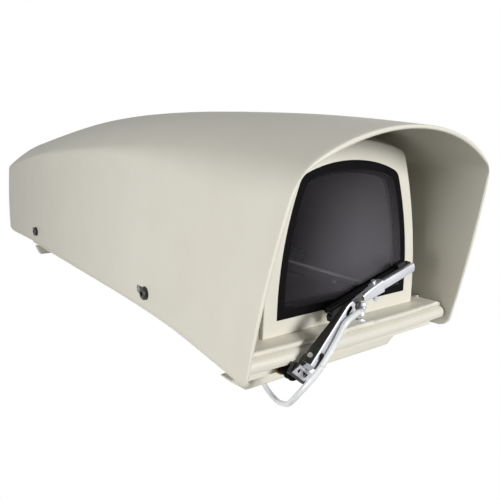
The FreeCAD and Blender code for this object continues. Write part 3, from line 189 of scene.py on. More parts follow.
def finish(name, light, dark, patch, grain, relief, rough, metallic=0.0, stretch=(1, 1, 1), **shader):
    """A finish with two scales. Broad patches drift between two colours and change the gloss a little, and a
    fine grain raises the surface. patch and grain are sizes in mm, relief the grain's height in mm, rough the
    lowest and highest roughness, and stretch pulls the pattern along the axes, as brushing does."""
    material, tree, out = blank(name)
    place = add(tree, "TexCoord").outputs["Object"]
    pulled = add(tree, "Mapping", {"Vector": place, "Scale": stretch}).outputs[0]
    broad = add(tree, "TexNoise", {"Vector": pulled, "Scale": 1 / (patch * mm), "Detail": 4.0, "Roughness": 0.55})
    fine = add(tree, "TexNoise", {"Vector": pulled, "Scale": 1 / (grain * mm), "Detail": 3.0, "Roughness": 0.6})
    drift = add(tree, "MapRange", {"Value": broad.outputs[0], "From Min": 0.3, "From Max": 0.7}).outputs[0]
    colour = add(tree, "Mix", {0: drift, 6: linear(dark), 7: linear(light)}, data_type="RGBA").outputs[2]
    mixed = add(tree, "Math", {0: broad.outputs[0], 1: fine.outputs[0]}, operation="MULTIPLY").outputs[0]
    gloss = add(tree, "MapRange", {"Value": mixed, "From Min": 0.1, "From Max": 0.4, "To Min": rough[0],
                                   "To Max": rough[1]}).outputs[0]
    bump = add(tree, "Bump", {"Height": fine.outputs[0], "Distance": relief * mm, "Strength": 1.0}).outputs[0]
    inputs = {"Base Color": colour, "Roughness": gloss, "Normal": bump, "Metallic": metallic}
    inputs.update(shader)
    body = add(tree, "BsdfPrincipled", inputs)
    tree.links.new(body.outputs[0], out.inputs["Surface"])
    return material


# Polyester powder coat on sheet aluminium: satin cream with a faint orange peel that softens its highlights
powder_coat = finish("cream_powder_coat", "dad8cb", "d5d2c5", 60.0, 1.6, 0.006, (0.42, 0.52),
                     **{"Specular IOR Level": 0.15})
# The cast tray and frame in the same coat, a little paler
cast_coat = finish("cream_coat_on_casting", "dedbcf", "d8d5c8", 45.0, 1.2, 0.02, (0.38, 0.5), IOR=1.5)
# Bright zinc plate: pale grey with a slight blue-white mottling
zinc = finish("zinc_plated_steel", "c9cbcc", "aeb0b2", 3.0, 0.4, 0.004, (0.25, 0.4), 1.0)
# Black oxide on steel screws: nearly black with a soft oily gloss
black_oxide = finish("black_oxide_steel", "1b1a1b", "0c0b0c", 2.0, 0.3, 0.004, (0.3, 0.45), IOR=1.5)
# Die-cast aluminium under a silver lacquer: light grey, a fine dull grain
casting = finish("die_cast_aluminium", "c9cad0", "bfc0c7", 5.0, 0.5, 0.004, (0.34, 0.44), 0.35)
# Pressed stainless strip, brushed along its length, so its highlights stretch into streaks
stainless = finish("brushed_stainless", "d9dae0", "cccdd4", 8.0, 0.6, 0.001, (0.26, 0.36), 0.75, (0.2, 1, 1))
# Dark anodised aluminium: satin, nearly black, with little colour
anodised = finish("anodised_aluminium", "2b292d", "242226", 20.0, 0.5, 0.002, (0.45, 0.55), 0.6)
# Moulded EPDM rubber: dull black with a dusty bloom
rubber = finish("black_rubber", "121012", "0a090a", 12.0, 0.6, 0.01, (0.6, 0.75),
                **{"Specular IOR Level": 0.05})
# Moulded black nylon: a little shinier than the rubber
black_nylon = finish("moulded_black_nylon", "121113", "0a0a0b", 10.0, 0.5, 0.01, (0.4, 0.55),
                     **{"Specular IOR Level": 0.3})
# Natural nylon: milky white
white_nylon = finish("natural_nylon", "e6e4dc", "d8d6cc", 6.0, 0.5, 0.006, (0.35, 0.5), IOR=1.5)
# Sintered bronze: brown gold and porous
bronze = finish("sintered_bronze", "a27a45", "7e5c32", 3.0, 0.3, 0.02, (0.4, 0.6), 1.0)
# Solder mask on glass fibre: glossy green, the weave just telling
solder_mask = finish("green_solder_mask", "1d5a35", "16482a", 8.0, 0.8, 0.01, (0.2, 0.3), IOR=1.5)


# Painted light: round this place the window pane stops more light and shows lighter.
painted_light_on_pane = part_point((20.0, 16.0, 60.0))
# Painted light: round this place the inner body's dark lining turns pale, as a glow on its right wall.
painted_light_on_wall = part_point((68.0, 72.0, 44.0))
body_axis_height = 0.092


def near(tree, position, place, reach, share=1.0):
    """A soft patch: the share at a place, and nothing from its reach in metres outwards."""
    away = add(tree, "VectorMath", {0: position, 1: tuple(place)}, operation="DISTANCE").outputs["Value"]
    return add(tree, "MapRange", {"Value": away, "From Min": reach, "From Max": 0.0, "To Max": share},
               interpolation_type="SMOOTHSTEP").outputs[0]


def clear_float_glass():
    """Float glass, polished. The share of light that it stops and scatters, its alpha, is small and follows a
    thin film of dust in soft patches, and rises in a painted patch of light in the pane's middle, so the pane
    shows lighter there."""
    material, tree, out = blank("clear_float_glass")
    place = add(tree, "TexCoord").outputs["Object"]
    film = add(tree, "TexNoise", {"Vector": place, "Scale": 1 / (45 * mm), "Detail": 4.0}).outputs[0]
    # Painted light: the alpha rises round one place in the pane's middle, so the pane shows lighter there.
    patch = near(tree, place, painted_light_on_pane, 0.082, 0.15)
    dust = add(tree, "MapRange", {"Value": film, "From Min": 0.3, "From Max": 0.75, "To Min": 0.02,
                                  "To Max": 0.05}).outputs[0]
    stopped = add(tree, "Math", {0: patch, 1: dust}).outputs[0]
    pane = add(tree, "BsdfPrincipled", {"Base Color": linear("8f8b93"), "Roughness": 0.03, "IOR": 1.45,
                                        "Alpha": stopped})
    tree.links.new(pane.outputs[0], out.inputs["Surface"])
    return material


glass = clear_float_glass()


def lined(coat, name, aside, facing):
    """The same coat outside with a matt dark lining inside, and a painted patch of light on the lining round one
    place on the right wall. A face is inside where its direction, times its place beside the housing's axis, is
    below zero, or where it looks forward."""
    material = coat.copy()
    material.name = name
    tree = material.node_tree
    shader = next(node for node in tree.nodes if node.type == "BSDF_PRINCIPLED")
    where = add(tree, "TexCoord")
    from_axis = add(tree, "VectorMath", {0: where.outputs["Object"], 1: (0.0, 0.0, body_axis_height)},
                    operation="SUBTRACT")
    flat = add(tree, "VectorMath", {0: from_axis.outputs[0], 1: aside}, operation="MULTIPLY").outputs[0]
    place = add(tree, "VectorMath", {0: flat, 1: facing}, operation="ADD").outputs[0]
    side = add(tree, "VectorMath", {0: place, 1: where.outputs["Normal"]}, operation="DOT_PRODUCT").outputs["Value"]
    inside = add(tree, "MapRange", {"Value": side, "From Min": 0.004, "From Max": -0.004}).outputs[0]
    cream = shader.inputs["Base Color"].links[0].from_socket
    # Painted light: a pale glow on the lining, strongest at one place on the right wall.
    wall_painted_light = near(tree, where.outputs["Object"], painted_light_on_wall, 0.14)
    lining = add(tree, "Mix", {0: wall_painted_light, 6: linear("3f3c41"), 7: linear("dcd8de")}, data_type="RGBA").outputs[2]
    both = add(tree, "Mix", {0: inside, 6: cream, 7: lining}, data_type="RGBA").outputs[2]
    tree.links.new(both, shader.inputs["Base Color"])
    return material


lined_body = lined(powder_coat, "cream_coat_black_lining", (1.0, 0.0, 1.0), (0.0, 0.0, 0.0))
lined_plate = lined(powder_coat, "cream_coat_black_inner_face", (0.0, 0.0, 0.0), (0.0, 1.0, 0.0))


def hose_vinyl():
    """Soft clear vinyl tube: light grey, part translucent, glossy, a little cloudy along its length."""
    material, tree, out = blank("clear_vinyl_hose")
    place = add(tree, "TexCoord").outputs["Object"]
    cloud = add(tree, "TexNoise", {"Vector": place, "Scale": 1 / (9 * mm), "Detail": 3.0}).outputs[0]
    tint = add(tree, "Mix", {0: cloud, 6: linear("d6d9d9"), 7: linear("e6e8e8")}, data_type="RGBA").outputs[2]
    gloss = add(tree, "MapRange", {"Value": cloud, "To Min": 0.18, "To Max": 0.32}).outputs[0]
    body = add(tree, "BsdfPrincipled", {"Base Color": tint, "Roughness": gloss, "IOR": 1.5,
                                        "Transmission Weight": 0.1, "Coat Weight": 0.3})
    tree.links.new(body.outputs[0], out.inputs["Surface"])
    return material


vinyl = hose_vinyl()


# Washer hose, drawn first because it bends in the air from the outlet to the arm

hose_diameter = 3.8 * mm
hose_bore = 2.2 * mm
loop_corners = part_point([
    (-40.0, 60.0, -17.0), (-40.0, 60.0, -25.6), (-42.3, 54.8, -33.0), (-43.6, 44.1, -36.8), (-47.6, 32.0, -35.6),
    (-52.9, 19.9, -30.5), (-58.9, 8.3, -23.7), (-65.3, -1.9, -15.6), (-64.4, -9.4, -5.6), (-58.7, -14.9, 5.0)])
arm_corners = part_point([(-49.4, -15.0, 14.4), (-40.9, -15.0, 25.3), (-34.4, -15.0, 35.6), (-22.5, -14.2, 38.0)])
hose_middle = 0.5 * (loop_corners[-1] + arm_corners[0])
free_route = np.vstack([loop_corners, hose_middle])
arm_route = np.vstack([hose_middle, arm_corners])


def smooth_line(name, route):
    """Points of a NURBS line that has the route's corners as its control points."""
    curve = bpy.data.curves.new(name, "CURVE")
    curve.dimensions = "3D"
    curve.resolution_u = 10
    spline = curve.splines.new("NURBS")
    spline.points.add(len(route) - 1)
    spline.points.foreach_set("co", np.column_stack([route, np.ones(len(route))]).ravel())
    spline.order_u = 3
    spline.use_endpoint_u = True
    holder = bpy.data.objects.new(name, curve)
    bpy.context.scene.collection.objects.link(holder)
    mesh = bpy.data.meshes.new_from_object(holder)
    points = np.empty(3 * len(mesh.vertices))
    mesh.vertices.foreach_get("co", points)
    bpy.data.objects.remove(holder)
    bpy.data.meshes.remove(mesh)
    return points.reshape(-1, 3)


def carried_frames(points):
    """Two directions across a line at each of its points, carried along without twist."""
    ahead = np.gradient(points, axis=0)
    ahead /= np.linalg.norm(ahead, axis=1)[:, None]
    first = np.cross(ahead[0], (0.0, 1.0, 0.0))
    if np.linalg.norm(first) < 1e-3:
        first = np.cross(ahead[0], (1.0, 0.0, 0.0))
    sides = []
    for direction in ahead:
        first = first - direction * (first @ direction)
        first = first / np.linalg.norm(first)
        sides.append(first)
    sides = np.array(sides)
    return sides, np.cross(ahead, sides)


def tube(points, outer, inner, count=20):
    """Tube along a line: each point plus r(cos t across + sin t up). The two ends are closed by a ring down
    to the bore, which runs a short way in."""
    across, up = carried_frames(points)
    turn = np.linspace(0, 2 * math.pi, count, endpoint=False)
    wheel = across[:, None] * np.cos(turn)[:, None] + up[:, None] * np.sin(turn)[:, None]
    wall = points[:, None] + outer * wheel
    bore = points[:, None] + inner * wheel
    rings = np.concatenate([bore[1:2], bore[:1], wall, bore[-1:], bore[-2:-1]])
    grid = rings.reshape(-1, 3)
    faces = grid_faces(len(rings), count)
    middle_first, middle_last = len(grid), len(grid) + 1
    last = (len(rings) - 1) * count
    around = np.arange(count)
    faces += np.stack([around, (around + 1) % count, np.full(count, middle_first)], 1).tolist()
    faces += np.stack([last + around, last + (around + 1) % count, np.full(count, middle_last)], 1).tolist()
    return np.vstack([grid, points[1:2], points[-2:-1]]), faces


free_line = smooth_line("free_hose_line", free_route)
arm_line = smooth_line("arm_hose_line", arm_route)
free_hose = mesh_object("free_hose", *tube(free_line, hose_diameter / 2, hose_bore / 2), vinyl, None)
arm_hose = mesh_object("hose_on_arm", *tube(arm_line, hose_diameter / 2, hose_bore / 2), vinyl, None)
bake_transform(free_hose)
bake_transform(arm_hose)
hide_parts("washer_hose")
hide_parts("arm_hose")


# Sunshield: a lofted shell with a soft shoulder at the front that sharpens to the rear

shield_wall = 2.5
shield_length = 600.0
hem_height = 5.0
hem_inset = 2.5
visor_lean = 0.22
front_corner = 6.0
rear_corner = 8.0
shoulder_share = 0.4
slot_places = (156.0, 478.0)
slot_height = 17.0
slot_radius = 3.4
slot_travel = 14.4
slot_reach = (72.0, 100.0)
# Distance from the front, lean, half width below, half width and height of the shoulder, crown, softness
stations = np.array([
    (0.0, 1.00, 100.0, 89.0, 125.5, 151.5, 14.0),
    (40.0, 0.55, 95.5, 86.5, 125.5, 156.5, 17.0),
    (110.0, 0.00, 88.0, 82.0, 127.5, 161.0, 13.5),
    (230.0, 0.00, 84.0, 79.0, 129.0, 163.0, 6.5),
    (390.0, 0.00, 81.5, 77.0, 121.0, 156.0, 3.4),
    (500.0, 0.00, 81.5, 77.5, 109.5, 143.0, 3.0),
    (600.0, 0.00, 85.0, 81.0, 91.5, 130.0, 3.0)])


def natural_spline(at, values, wanted):
    """Cubic through the values with no bend at its ends. The bends m solve the usual three-term system, and
    each span is a cubic between two values and two bends."""
    step = np.diff(at)
    count = len(at)
    system = np.eye(count)
    right = np.zeros((count,) + values.shape[1:])
    inner = np.arange(1, count - 1)
    system[inner, inner - 1] = step[:-1]
    system[inner, inner] = 2 * (step[:-1] + step[1:])
    system[inner, inner + 1] = step[1:]
    slope = np.diff(values, axis=0) / step.reshape((-1,) + (1,) * (values.ndim - 1))
    right[1:-1] = 6 * np.diff(slope, axis=0)
    bend = np.linalg.solve(system, right.reshape(count, -1)).reshape(right.shape)
    span = np.clip(np.searchsorted(at, wanted, side="right") - 1, 0, count - 2)
    shape = (-1,) + (1,) * (values.ndim - 1)
    h = step[span].reshape(shape)
    a = ((at[span + 1] - wanted).reshape(shape)) / h
    b = 1 - a
    return (a * values[span] + b * values[span + 1]
            + ((a ** 3 - a) * bend[span] + (b ** 3 - b) * bend[span + 1]) * h * h / 6)


def arch_points(half, shoulder_half, shoulder_height, crown_height, softness, foot_height):
    """Control points of half an arch for all stations at once: upright side, soft shoulder, shallow roof."""
    foot = np.stack([half, foot_height + 0 * half], -1)
    side_pull = np.stack([half + 0.4, 0.5 * shoulder_height], -1)
    shoulder = np.stack([shoulder_half, shoulder_height], -1)
    roof_pull = np.stack([0.5 * shoulder_half, crown_height], -1)
    crown = np.stack([0 * half, crown_height], -1)

    def towards(start, end):
        """A point as far from the start as the station's softness."""
        way = end - start
        return start + way * (softness / np.linalg.norm(way, axis=-1))[:, None]

    side_end, roof_start = towards(shoulder, side_pull), towards(shoulder, roof_pull)
    return np.stack([foot, side_pull, side_end, shoulder, roof_start, roof_pull, crown], 1)


def half_arch(controls, counts=(30, 18, 26)):
    """Points along three quadratic Beziers in a row: (1-t)^2 A + 2t(1-t) B + t^2 C."""
    pieces = []
    for first, count in zip((0, 2, 4), counts):
        t = np.linspace(0, 1, count, endpoint=first == 4)[:, None]
        a, b, c = (controls[:, first + k][:, None] for k in range(3))
        pieces.append((1 - t) ** 2 * a + 2 * t * (1 - t) * b + t ** 2 * c)
    return np.concatenate(pieces, 1)


def corner_inset(height, radius):
    """How far a rounded lower corner sets a line in at a height: r - sqrt(r^2 - (r - h)^2)."""
    height = np.clip(height, 0, radius)
    return radius - np.sqrt(radius ** 2 - (radius - height) ** 2)


def sunshield():
    """Wall between an outer and an inner loft. Each row is one closed section; at both rims the two walls
    turn into each other on a half circle, and the lower corners are rounded by starting and ending each line
    of the grid a little further in."""
    d, lean, half, shoulder, height, crown, soft = stations.T
    wall = shield_wall
    outer = arch_points(half, shoulder, height, crown, soft, hem_height)
    inner = arch_points(half - wall, shoulder - wall, height - shoulder_share * wall, crown - wall,
                        shoulder_share * soft, hem_height)
    foot = np.stack([half - hem_inset, 0 * half], -1)[:, None]
    inner_foot = foot - (wall, 0.0)

    def section(controls, foot):
        """Whole sections with the hem: the right side, then its mirror image."""
        arch = half_arch(controls)
        hem = foot + (arch[:, :1] - foot) * np.linspace(0, 1, 5)[:-1][None, :, None]
        side = np.concatenate([hem, arch], 1)
        return np.concatenate([side, side[:, -2::-1] * (-1, 1)], 1)
    skins = []
    for loop in (section(outer, foot), section(inner, inner_foot)):
        leaning = -visor_lean * lean[:, None] * loop[..., 1]
        skins.append(np.stack([loop[..., 0], leaning, loop[..., 1]], -1))
    run = np.concatenate([np.linspace(0, 60, 22)[:-1], np.linspace(60, 540, 64)[:-1],
                          np.linspace(540, shield_length, 18)])
    middle = 0.5 * (skins[0] + skins[1])
    start = corner_inset(middle[0, :, 2], front_corner) + wall / 2
    stop = shield_length - corner_inset(middle[-1, :, 2], rear_corner) - wall / 2
    place = start + (run / shield_length)[:, None] * (stop - start)
    fine = np.linspace(0, shield_length, 1201)
    index = np.clip(place / fine[1], 0, len(fine) - 1.001)
    below = index.astype(int)
    part = (index - below)[..., None]
    column = np.arange(middle.shape[1])[None]
    rows = []
    for skin in skins:
        dense = natural_spline(d, skin, fine)
        point = dense[below, column] * (1 - part) + dense[below + 1, column] * part
        point[..., 1] += place
        rows.append(point)
    outer_rows, inner_rows = rows
    centre = 0.5 * (outer_rows + inner_rows)
    half_circle = np.linspace(math.pi / 2, 0, 7)[:-1]
    forward = np.array([0.0, -1.0, -visor_lean]) / math.hypot(1.0, visor_lean)

    def rim(row, direction, angles):
        """Rows of the half circle between the two walls, one list for each wall."""
        out = [[], []]
        for angle in angles:
            for k, skin in enumerate((outer_rows, inner_rows)):
                out[k].append(centre[row] + (skin[row] - centre[row]) * math.cos(angle)
                              + direction * (wall / 2) * math.sin(angle))
        return np.array(out[0]), np.array(out[1])
    front_rim = rim(0, forward, half_circle)
    rear_rim = rim(-1, np.array([0.0, 1.0, 0.0]), half_circle[::-1])
    outer_rows = np.concatenate([front_rim[0], outer_rows, rear_rim[0]])
    inner_rows = np.concatenate([front_rim[1], inner_rows, rear_rim[1]])
    grid = np.concatenate([outer_rows, inner_rows[:, ::-1]], 1)
    return part_point(grid.reshape(-1, 3)), grid_faces(*grid.shape[:2])


def stadium(length, radius, count=12):
    """Outline of a slot with round ends, from a point at the origin towards +x, as (x, y) pairs."""
    turn = np.linspace(math.pi / 2, 3 * math.pi / 2, count)
    left = np.stack([radius * np.cos(turn), radius * np.sin(turn)], 1)
    return np.vstack([left, -left + (length, 0.0)])


def slot_cutters():
    """Closed shapes for the four slots: a stadium outline pulled through each wall."""
    outline = stadium(slot_travel, slot_radius)
    return [loft([np.column_stack([np.full(len(outline), side * x), place + outline[:, 0],
                                   slot_height + outline[:, 1]]) for x in slot_reach])
            for side in (-1, 1) for place in slot_places]


shield = mesh_object("sunshield_shell", *sunshield(), powder_coat, "shield")
cut_through(shield, slot_cutters())
sharpen(shield, 40)
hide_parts("sunshield")


# Wiper, in the arm's own lines: u along the arm from the shaft, w across it towards the upper left, y as before

shaft_point = np.array([-62.0, 2.0])
blade_centre = np.array([9.0, 40.8])
arm_turn = math.radians(49.0)
blade_turn = math.radians(15.0)
across_arm = (-math.sin(arm_turn), 0.0, math.cos(arm_turn))
across_blade = (-math.sin(blade_turn), 0.0, math.cos(blade_turn))
arm_front = -12.5
bracket_front = -0.7
crisp_angle = 30
edge_rounding = 0.12


def laid(points, start, turn):
    """(u, y, w) to (x, y, z): the start plus u times the long direction plus w times the cross direction."""
    points = np.asarray(points, float)
    u, y, w = points[..., 0], points[..., 1], points[..., 2]
    x = start[0] + u * math.cos(turn) - w * math.sin(turn)
    z = start[1] + u * math.sin(turn) + w * math.cos(turn)
    return np.stack([x, y, z], -1)


def on_arm(shape):
    """A (points, faces) pair in the arm's own lines, laid in place."""
    return laid(shape[0], shaft_point, arm_turn), shape[1]


def on_blade(shape):
    """A (points, faces) pair in the blade's own lines, laid in place."""
    return laid(shape[0], blade_centre, blade_turn), shape[1]


def rounded(corners, radii, count=5):
    """Closed outline with each corner cut by a quadratic Bezier that starts and ends a radius away from it."""
    corners = np.asarray(corners, float)
    radii = np.broadcast_to(np.asarray(radii, float), len(corners))[:, None]
    before, after = np.roll(corners, 1, 0) - corners, np.roll(corners, -1, 0) - corners
    first = corners + before / np.linalg.norm(before, axis=1)[:, None] * radii
    last = corners + after / np.linalg.norm(after, axis=1)[:, None] * radii
    t = np.linspace(0, 1, count)[None, :, None]
    arcs = (1 - t) ** 2 * first[:, None] + 2 * t * (1 - t) * corners[:, None] + t ** 2 * last[:, None]
    return arcs.reshape(-1, 2)


def channel(half, depth, wall, radius):
    """Outline of a pressed channel as (w, y) pairs: two walls and a face at y = 0, with rounded bends."""
    corners = [(half, depth), (half, 0), (-half, 0), (-half, depth), (wall - half, depth), (wall - half, wall),
               (half - wall, wall), (half - wall, depth)]
    small = 0.3 * wall
    return rounded(corners, [small, radius, radius, small, small, radius - wall, radius - wall, small])


def bevelled(made, width, degrees=35):
    """A small rounding along the crisp edges of a finished mesh."""
    edge = made.modifiers.new("edges", "BEVEL")
    edge.width, edge.segments = width * mm, 2
    edge.limit_method, edge.angle_limit = "ANGLE", math.radians(degrees)
    edge.harden_normals = True


def wiper_arm():
    """Channel lofted along the arm: its half width shrinks and its walls get shallower with u, and the tip
    closes in."""
    u = np.array([8.0, 14.0, 19.0, 28.0, 38.0, 48.0, 51.0, 53.5, 55.0])
    half = np.interp(u, [8.0, 51.0, 53.5, 55.0], [5.25, 4.0, 3.2, 2.2])
    depth = np.interp(u, [19.0, 51.0, 55.0], [8.0, 3.3, 2.6])
    loops = []
    for place, across, deep in zip(u, half, depth):
        outline = channel(across, deep, 1.2, 1.7)
        loops.append(np.column_stack([np.full(len(outline), place), outline[:, 1] + arm_front, outline[:, 0]]))
    return on_arm(loft(loops))


def arm_strip():
    """Rounded strip 1.6 mm thick whose middle follows straight runs, softened by a moving average with the
    weights 1, 2, 3, 2, 1. It gets wider towards the bracket and ends inside it."""
    reach = shaft_point + 48.0 * np.array([math.cos(arm_turn), math.sin(arm_turn)])
    line = np.array([(reach[0], -10.7, reach[1]), (-23.5, -9.6, 42.3), (-19.0, -8.6, 42.6),
                     (-5.5, -0.9, 41.2), (-2.5, 0.9, 41.0), (3.5, 0.9, 41.6)])
    along = np.concatenate([[0], np.cumsum(np.linalg.norm(np.diff(line, axis=0), axis=1))])
    wanted = np.linspace(0, along[-1], 28)
    middle = np.stack([np.interp(wanted, along, line[:, k]) for k in range(3)], 1)
    kernel = np.array([1, 2, 3, 2, 1]) / 9
    padded = np.vstack([middle[:1]] * 2 + [middle] + [middle[-1:]] * 2)
    middle = np.stack([np.convolve(padded[:, k], kernel, "valid") for k in range(3)], 1)
    ring = rounded([(-2.2, 0), (2.2, 0), (2.2, 1.6), (-2.2, 1.6)], 0.45, 3)
    across = ring[:, 0] * np.interp(middle[:, 0], [-22.0, -12.0], [1.0, 1.25])[:, None]
    return loft(middle[:, None] + np.stack([0 * across, 0 * across + ring[:, 1], across], -1))


def blacken(made, way, least=0.6):
    """Black on the faces that look along a direction."""
    made.data.materials.append(black_oxide)
    normals = np.empty(3 * len(made.data.polygons))
    made.data.polygons.foreach_get("normal", normals)
    slots = np.where(normals.reshape(-1, 3) @ np.array(way) > least, len(made.data.materials) - 1, 0)
    made.data.polygons.foreach_set("material_index", slots.astype(np.int32))


def prism(outline, front_y, back_y):
    """Closed prism over an outline of (u, w) pairs in the arm's lines between two depths."""
    outline = np.asarray(outline, float)
    return on_arm(loft([np.column_stack([outline[:, 0], np.full(len(outline), y), outline[:, 1]])
                        for y in (front_y, back_y)]))


def oval(u, w, half_length, radius, count=24):
    """Slot outline round a place: a circle pulled apart along u."""
    turn = np.linspace(0, 2 * math.pi, count, endpoint=False)
    return np.stack([u + radius * np.cos(turn) + half_length * np.sign(np.cos(turn)),
                     w + radius * np.sin(turn)], 1)


arm = mesh_object("arm_channel", *in_part(wiper_arm()), casting, None)
strip = mesh_object("arm_strip", *in_part(arm_strip()), stainless, "arm")
tip_hole = oval(48.9, 0.5, 2.0, 1.5)
keyhole = oval(15.6, 1.0, 0.4, 2.2)
keyhole_slot = [(6.0, -0.7), (15.0, -0.7), (15.0, 1.5), (6.0, 1.5)]
for outline in (tip_hole, keyhole, keyhole_slot):
    cut_through(arm, [prism(outline, arm_front - 1.5, arm_front + 2.5)])
blacken(arm, across_arm)
blacken(strip, (0.3, -0.95, 0.0), 0.75)
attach(arm, "arm")
sharpen(arm, crisp_angle)
sharpen(strip, 40)
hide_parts("wiper_arm")


def outline_loft(section, places, shares=None):
    """Skin over the same (w, y) outline at several places along u, its w scaled by a share at each."""
    shares = np.ones(len(places)) if shares is None else shares
    return loft([np.column_stack([np.full(len(section), place), section[:, 1], share * section[:, 0]])
                 for place, share in zip(places, shares)])


def bar(low, high, front, back, radius, count=5):
    """Outline of a bar with rounded corners between two w and two y values."""
    return rounded([(high, back), (high, front), (low, front), (low, back)], radius, count)


def blade_bracket():
    """Channel along the blade whose walls get shallower towards its left end."""
    loops = []
    for place, half, middle, deep in ((-12.4, 2.3, 1.7, 3.4), (-11.0, 2.8, 1.6, 4.0), (-6.0, 3.6, 1.8, 4.4),
                                      (-2.5, 3.9, 1.9, 4.6), (-0.8, 4.0, 1.9, 6.1), (4.8, 4.4, 2.0, 6.1),
                                      (8.0, 4.6, 2.1, 4.6)):
        outline = channel(half, deep, 1.0, 1.3)
        loops.append(np.column_stack([np.full(len(outline), place), outline[:, 1] + bracket_front,
                                      outline[:, 0] + middle]))
    return on_blade(loft(loops))


def blade_spine():
    """Folded strip with a ridge along it: its upper part leans up a little and its lower part down. Under the
    bracket it is a plain narrow neck, with a lug on the cross pin."""
    fold = rounded([(2.6, 6.3), (2.5, 4.1), (-0.4, 3.6), (-4.4, 4.6), (-4.6, 6.3)],
                   [0.3, 0.5, 0.3, 0.5, 0.3], 4)
    return on_blade(joined([outline_loft(fold, (7.0, 20.0, 30.0, 40.0, 46.8)),
                            outline_loft(bar(-2.45, 2.45, 4.5, 6.3, 0.3), (-14.0, 8.0)),
                            outline_loft(bar(-3.4, 3.4, 1.4, 5.5, 0.4), (-3.0, 3.0))]))


def blade_holder():
    """Rounded black bar with a groove for the rubber behind, a thicker back along its left half, a clip on its
    left end and a raised block near its right end."""
    grooved = rounded([(3.4, 10.8), (3.4, 6.6), (2.6, 6.3), (-2.6, 6.3), (-3.4, 6.6), (-3.4, 10.8),
                       (-1.25, 10.8), (-1.25, 8.6), (1.25, 8.6), (1.25, 10.8)], 0.4, 4)
    thick_back = outline_loft(bar(-2.7, 2.7, 4.3, 7.0, 0.9), (-37.5, -36.0, -16.0, -14.0),
                              (0.8, 1.0, 1.0, 0.85))
    return on_blade(joined([outline_loft(grooved, (-36.5, 46.0)), thick_back,
                            outline_loft(bar(0.6, 6.6, 6.2, 10.8, 0.8), (32.0, 39.5)),
                            outline_loft(bar(-5.8, -1.5, 6.0, 10.0, 0.8), (-38.0, -33.5))]))


def blade_rubber():
    """Squeegee: a bead in the holder's groove, a thin neck and a lip that thins to its edge on the glass."""
    lip = rounded([(1.1, 8.8), (1.1, 10.4), (0.5, 10.9), (2.1, 11.9), (2.1, 12.9), (0.9, 13.9), (0.35, 17.8),
                   (-0.35, 17.8), (-0.9, 13.9), (-2.1, 12.9), (-2.1, 11.9), (-0.5, 10.9), (-1.1, 10.4),
                   (-1.1, 8.8)], 0.2, 3)
    return on_blade(outline_loft(lip, (-35.5, 45.5)))


def turned(profile, start, direction, count=28):
    """Closed surface from (radius, distance) pairs turned about a direction from a start."""
    direction = np.asarray(direction, float) / np.linalg.norm(direction)
    side = np.cross(direction, (0.3, 0.2, 0.93))
    side /= np.linalg.norm(side)
    other = np.cross(direction, side)
    angle = np.linspace(0, 2 * math.pi, count, endpoint=False)
    wheel = side * np.cos(angle)[:, None] + other * np.sin(angle)[:, None]
    profile = np.asarray(profile, float)
    middles = np.asarray(start, float) + direction * profile[:, 1:]
    return loft(middles[:, None] + wheel[None] * profile[:, :1, None])


def rocking_pin():
    """Headed pin across the bracket."""
    profile = [(1.2, -7.3), (1.6, -7.1), (1.6, -5.6), (1.3, -5.5), (1.3, 7.2), (1.7, 7.3), (1.7, 8.0),
               (1.2, 8.3)]
    return turned(profile, laid((2.4, 3.3, 0.0), blade_centre, blade_turn), across_blade)


def washer_nozzle():
    """Elbow under the strip: a collar round its stem, a flange below, a jet to the window and a barb in the
    hose."""
    stem = [(2.2, 0.0), (2.6, 0.4), (2.6, 3.0), (1.7, 3.4), (1.7, 5.6), (2.5, 6.0), (2.5, 8.6), (1.5, 9.0)]
    flange = [(2.0, 0.0), (3.1, 0.4), (3.1, 1.6), (2.0, 2.0)]
    jet = [(1.7, 0.0), (1.7, 5.0), (1.2, 7.4), (0.7, 7.6)]
    barb = [(1.9, 0.0), (1.9, 2.0), (1.4, 2.2), (1.4, 6.0), (1.7, 6.2), (1.2, 8.2)]
    down = (-0.32, -0.14, -0.94)
    return joined([turned(stem, (-14.2, -9.0, 41.0), down), turned(flange, (-17.4, -11.0, 31.4), down),
                   turned(jet, (-16.6, -9.6, 34.4), (0.35, 0.8, 0.4)),
                   turned(barb, (-15.4, -10.6, 38.0), (-0.89, -0.45, 0.0))])


def wiper_head():
    """Clamp whose front slopes out towards the arm, with a pocket in it, and a tongue inside the arm that
    carries the rivet."""
    section = rounded([(-1.6, -2.4), (-1.0, -4.0), (4.3, -6.6), (5.3, -6.0), (5.6, -2.2)],
                      [0.4, 0.7, 0.9, 0.9, 0.5], 5)
    block = loft([np.column_stack([section[:, 0], section[:, 1], np.full(len(section), w)])
                  for w in (-7.2, 6.4)])
    side = rounded([(5.0, -1.2), (5.0, -6.0), (11.6, -10.4), (14.8, -10.7), (16.4, -9.3), (16.4, -6.5),
                    (12.0, -2.0)], 0.8, 4)
    tongue = loft([np.column_stack([side[:, 0], side[:, 1], np.full(len(side), w)]) for w in (-3.7, 3.7)])
    return on_arm(joined([block, tongue]))


def head_flange():
    """Black flange behind the clamp's front, a little wider than it."""
    return prism(rounded([(-3.0, -9.4), (5.4, -9.4), (5.4, 7.6), (-3.0, 7.6)], 1.6, 6), -3.0, -0.8)


def at_shaft(profile):
    """A turned piece on the wiper's shaft."""
    return turned(profile, (shaft_point[0], 0.0, shaft_point[1]), (0.0, 1.0, 0.0), 36)


head = mesh_object("clamp_head", *in_part(wiper_head()), casting, None)
pocket = rounded([(0.1, -4.9), (3.5, -4.9), (3.5, 4.6), (0.1, 4.6)], 1.0, 5)
for outline, depth in ((pocket, -4.1), (oval(1.8, 1.9, 0.2, 1.0), -2.6),
                       ([(0.4, -4.5), (3.2, -4.5), (3.2, -1.2)], -2.6)):
    cut_through(head, [prism(outline, -9.0, depth)])
blacken(head, across_arm)
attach(head, "wiper_drive")
sharpen(head, crisp_angle)
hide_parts("wiper_head", "head_nut")

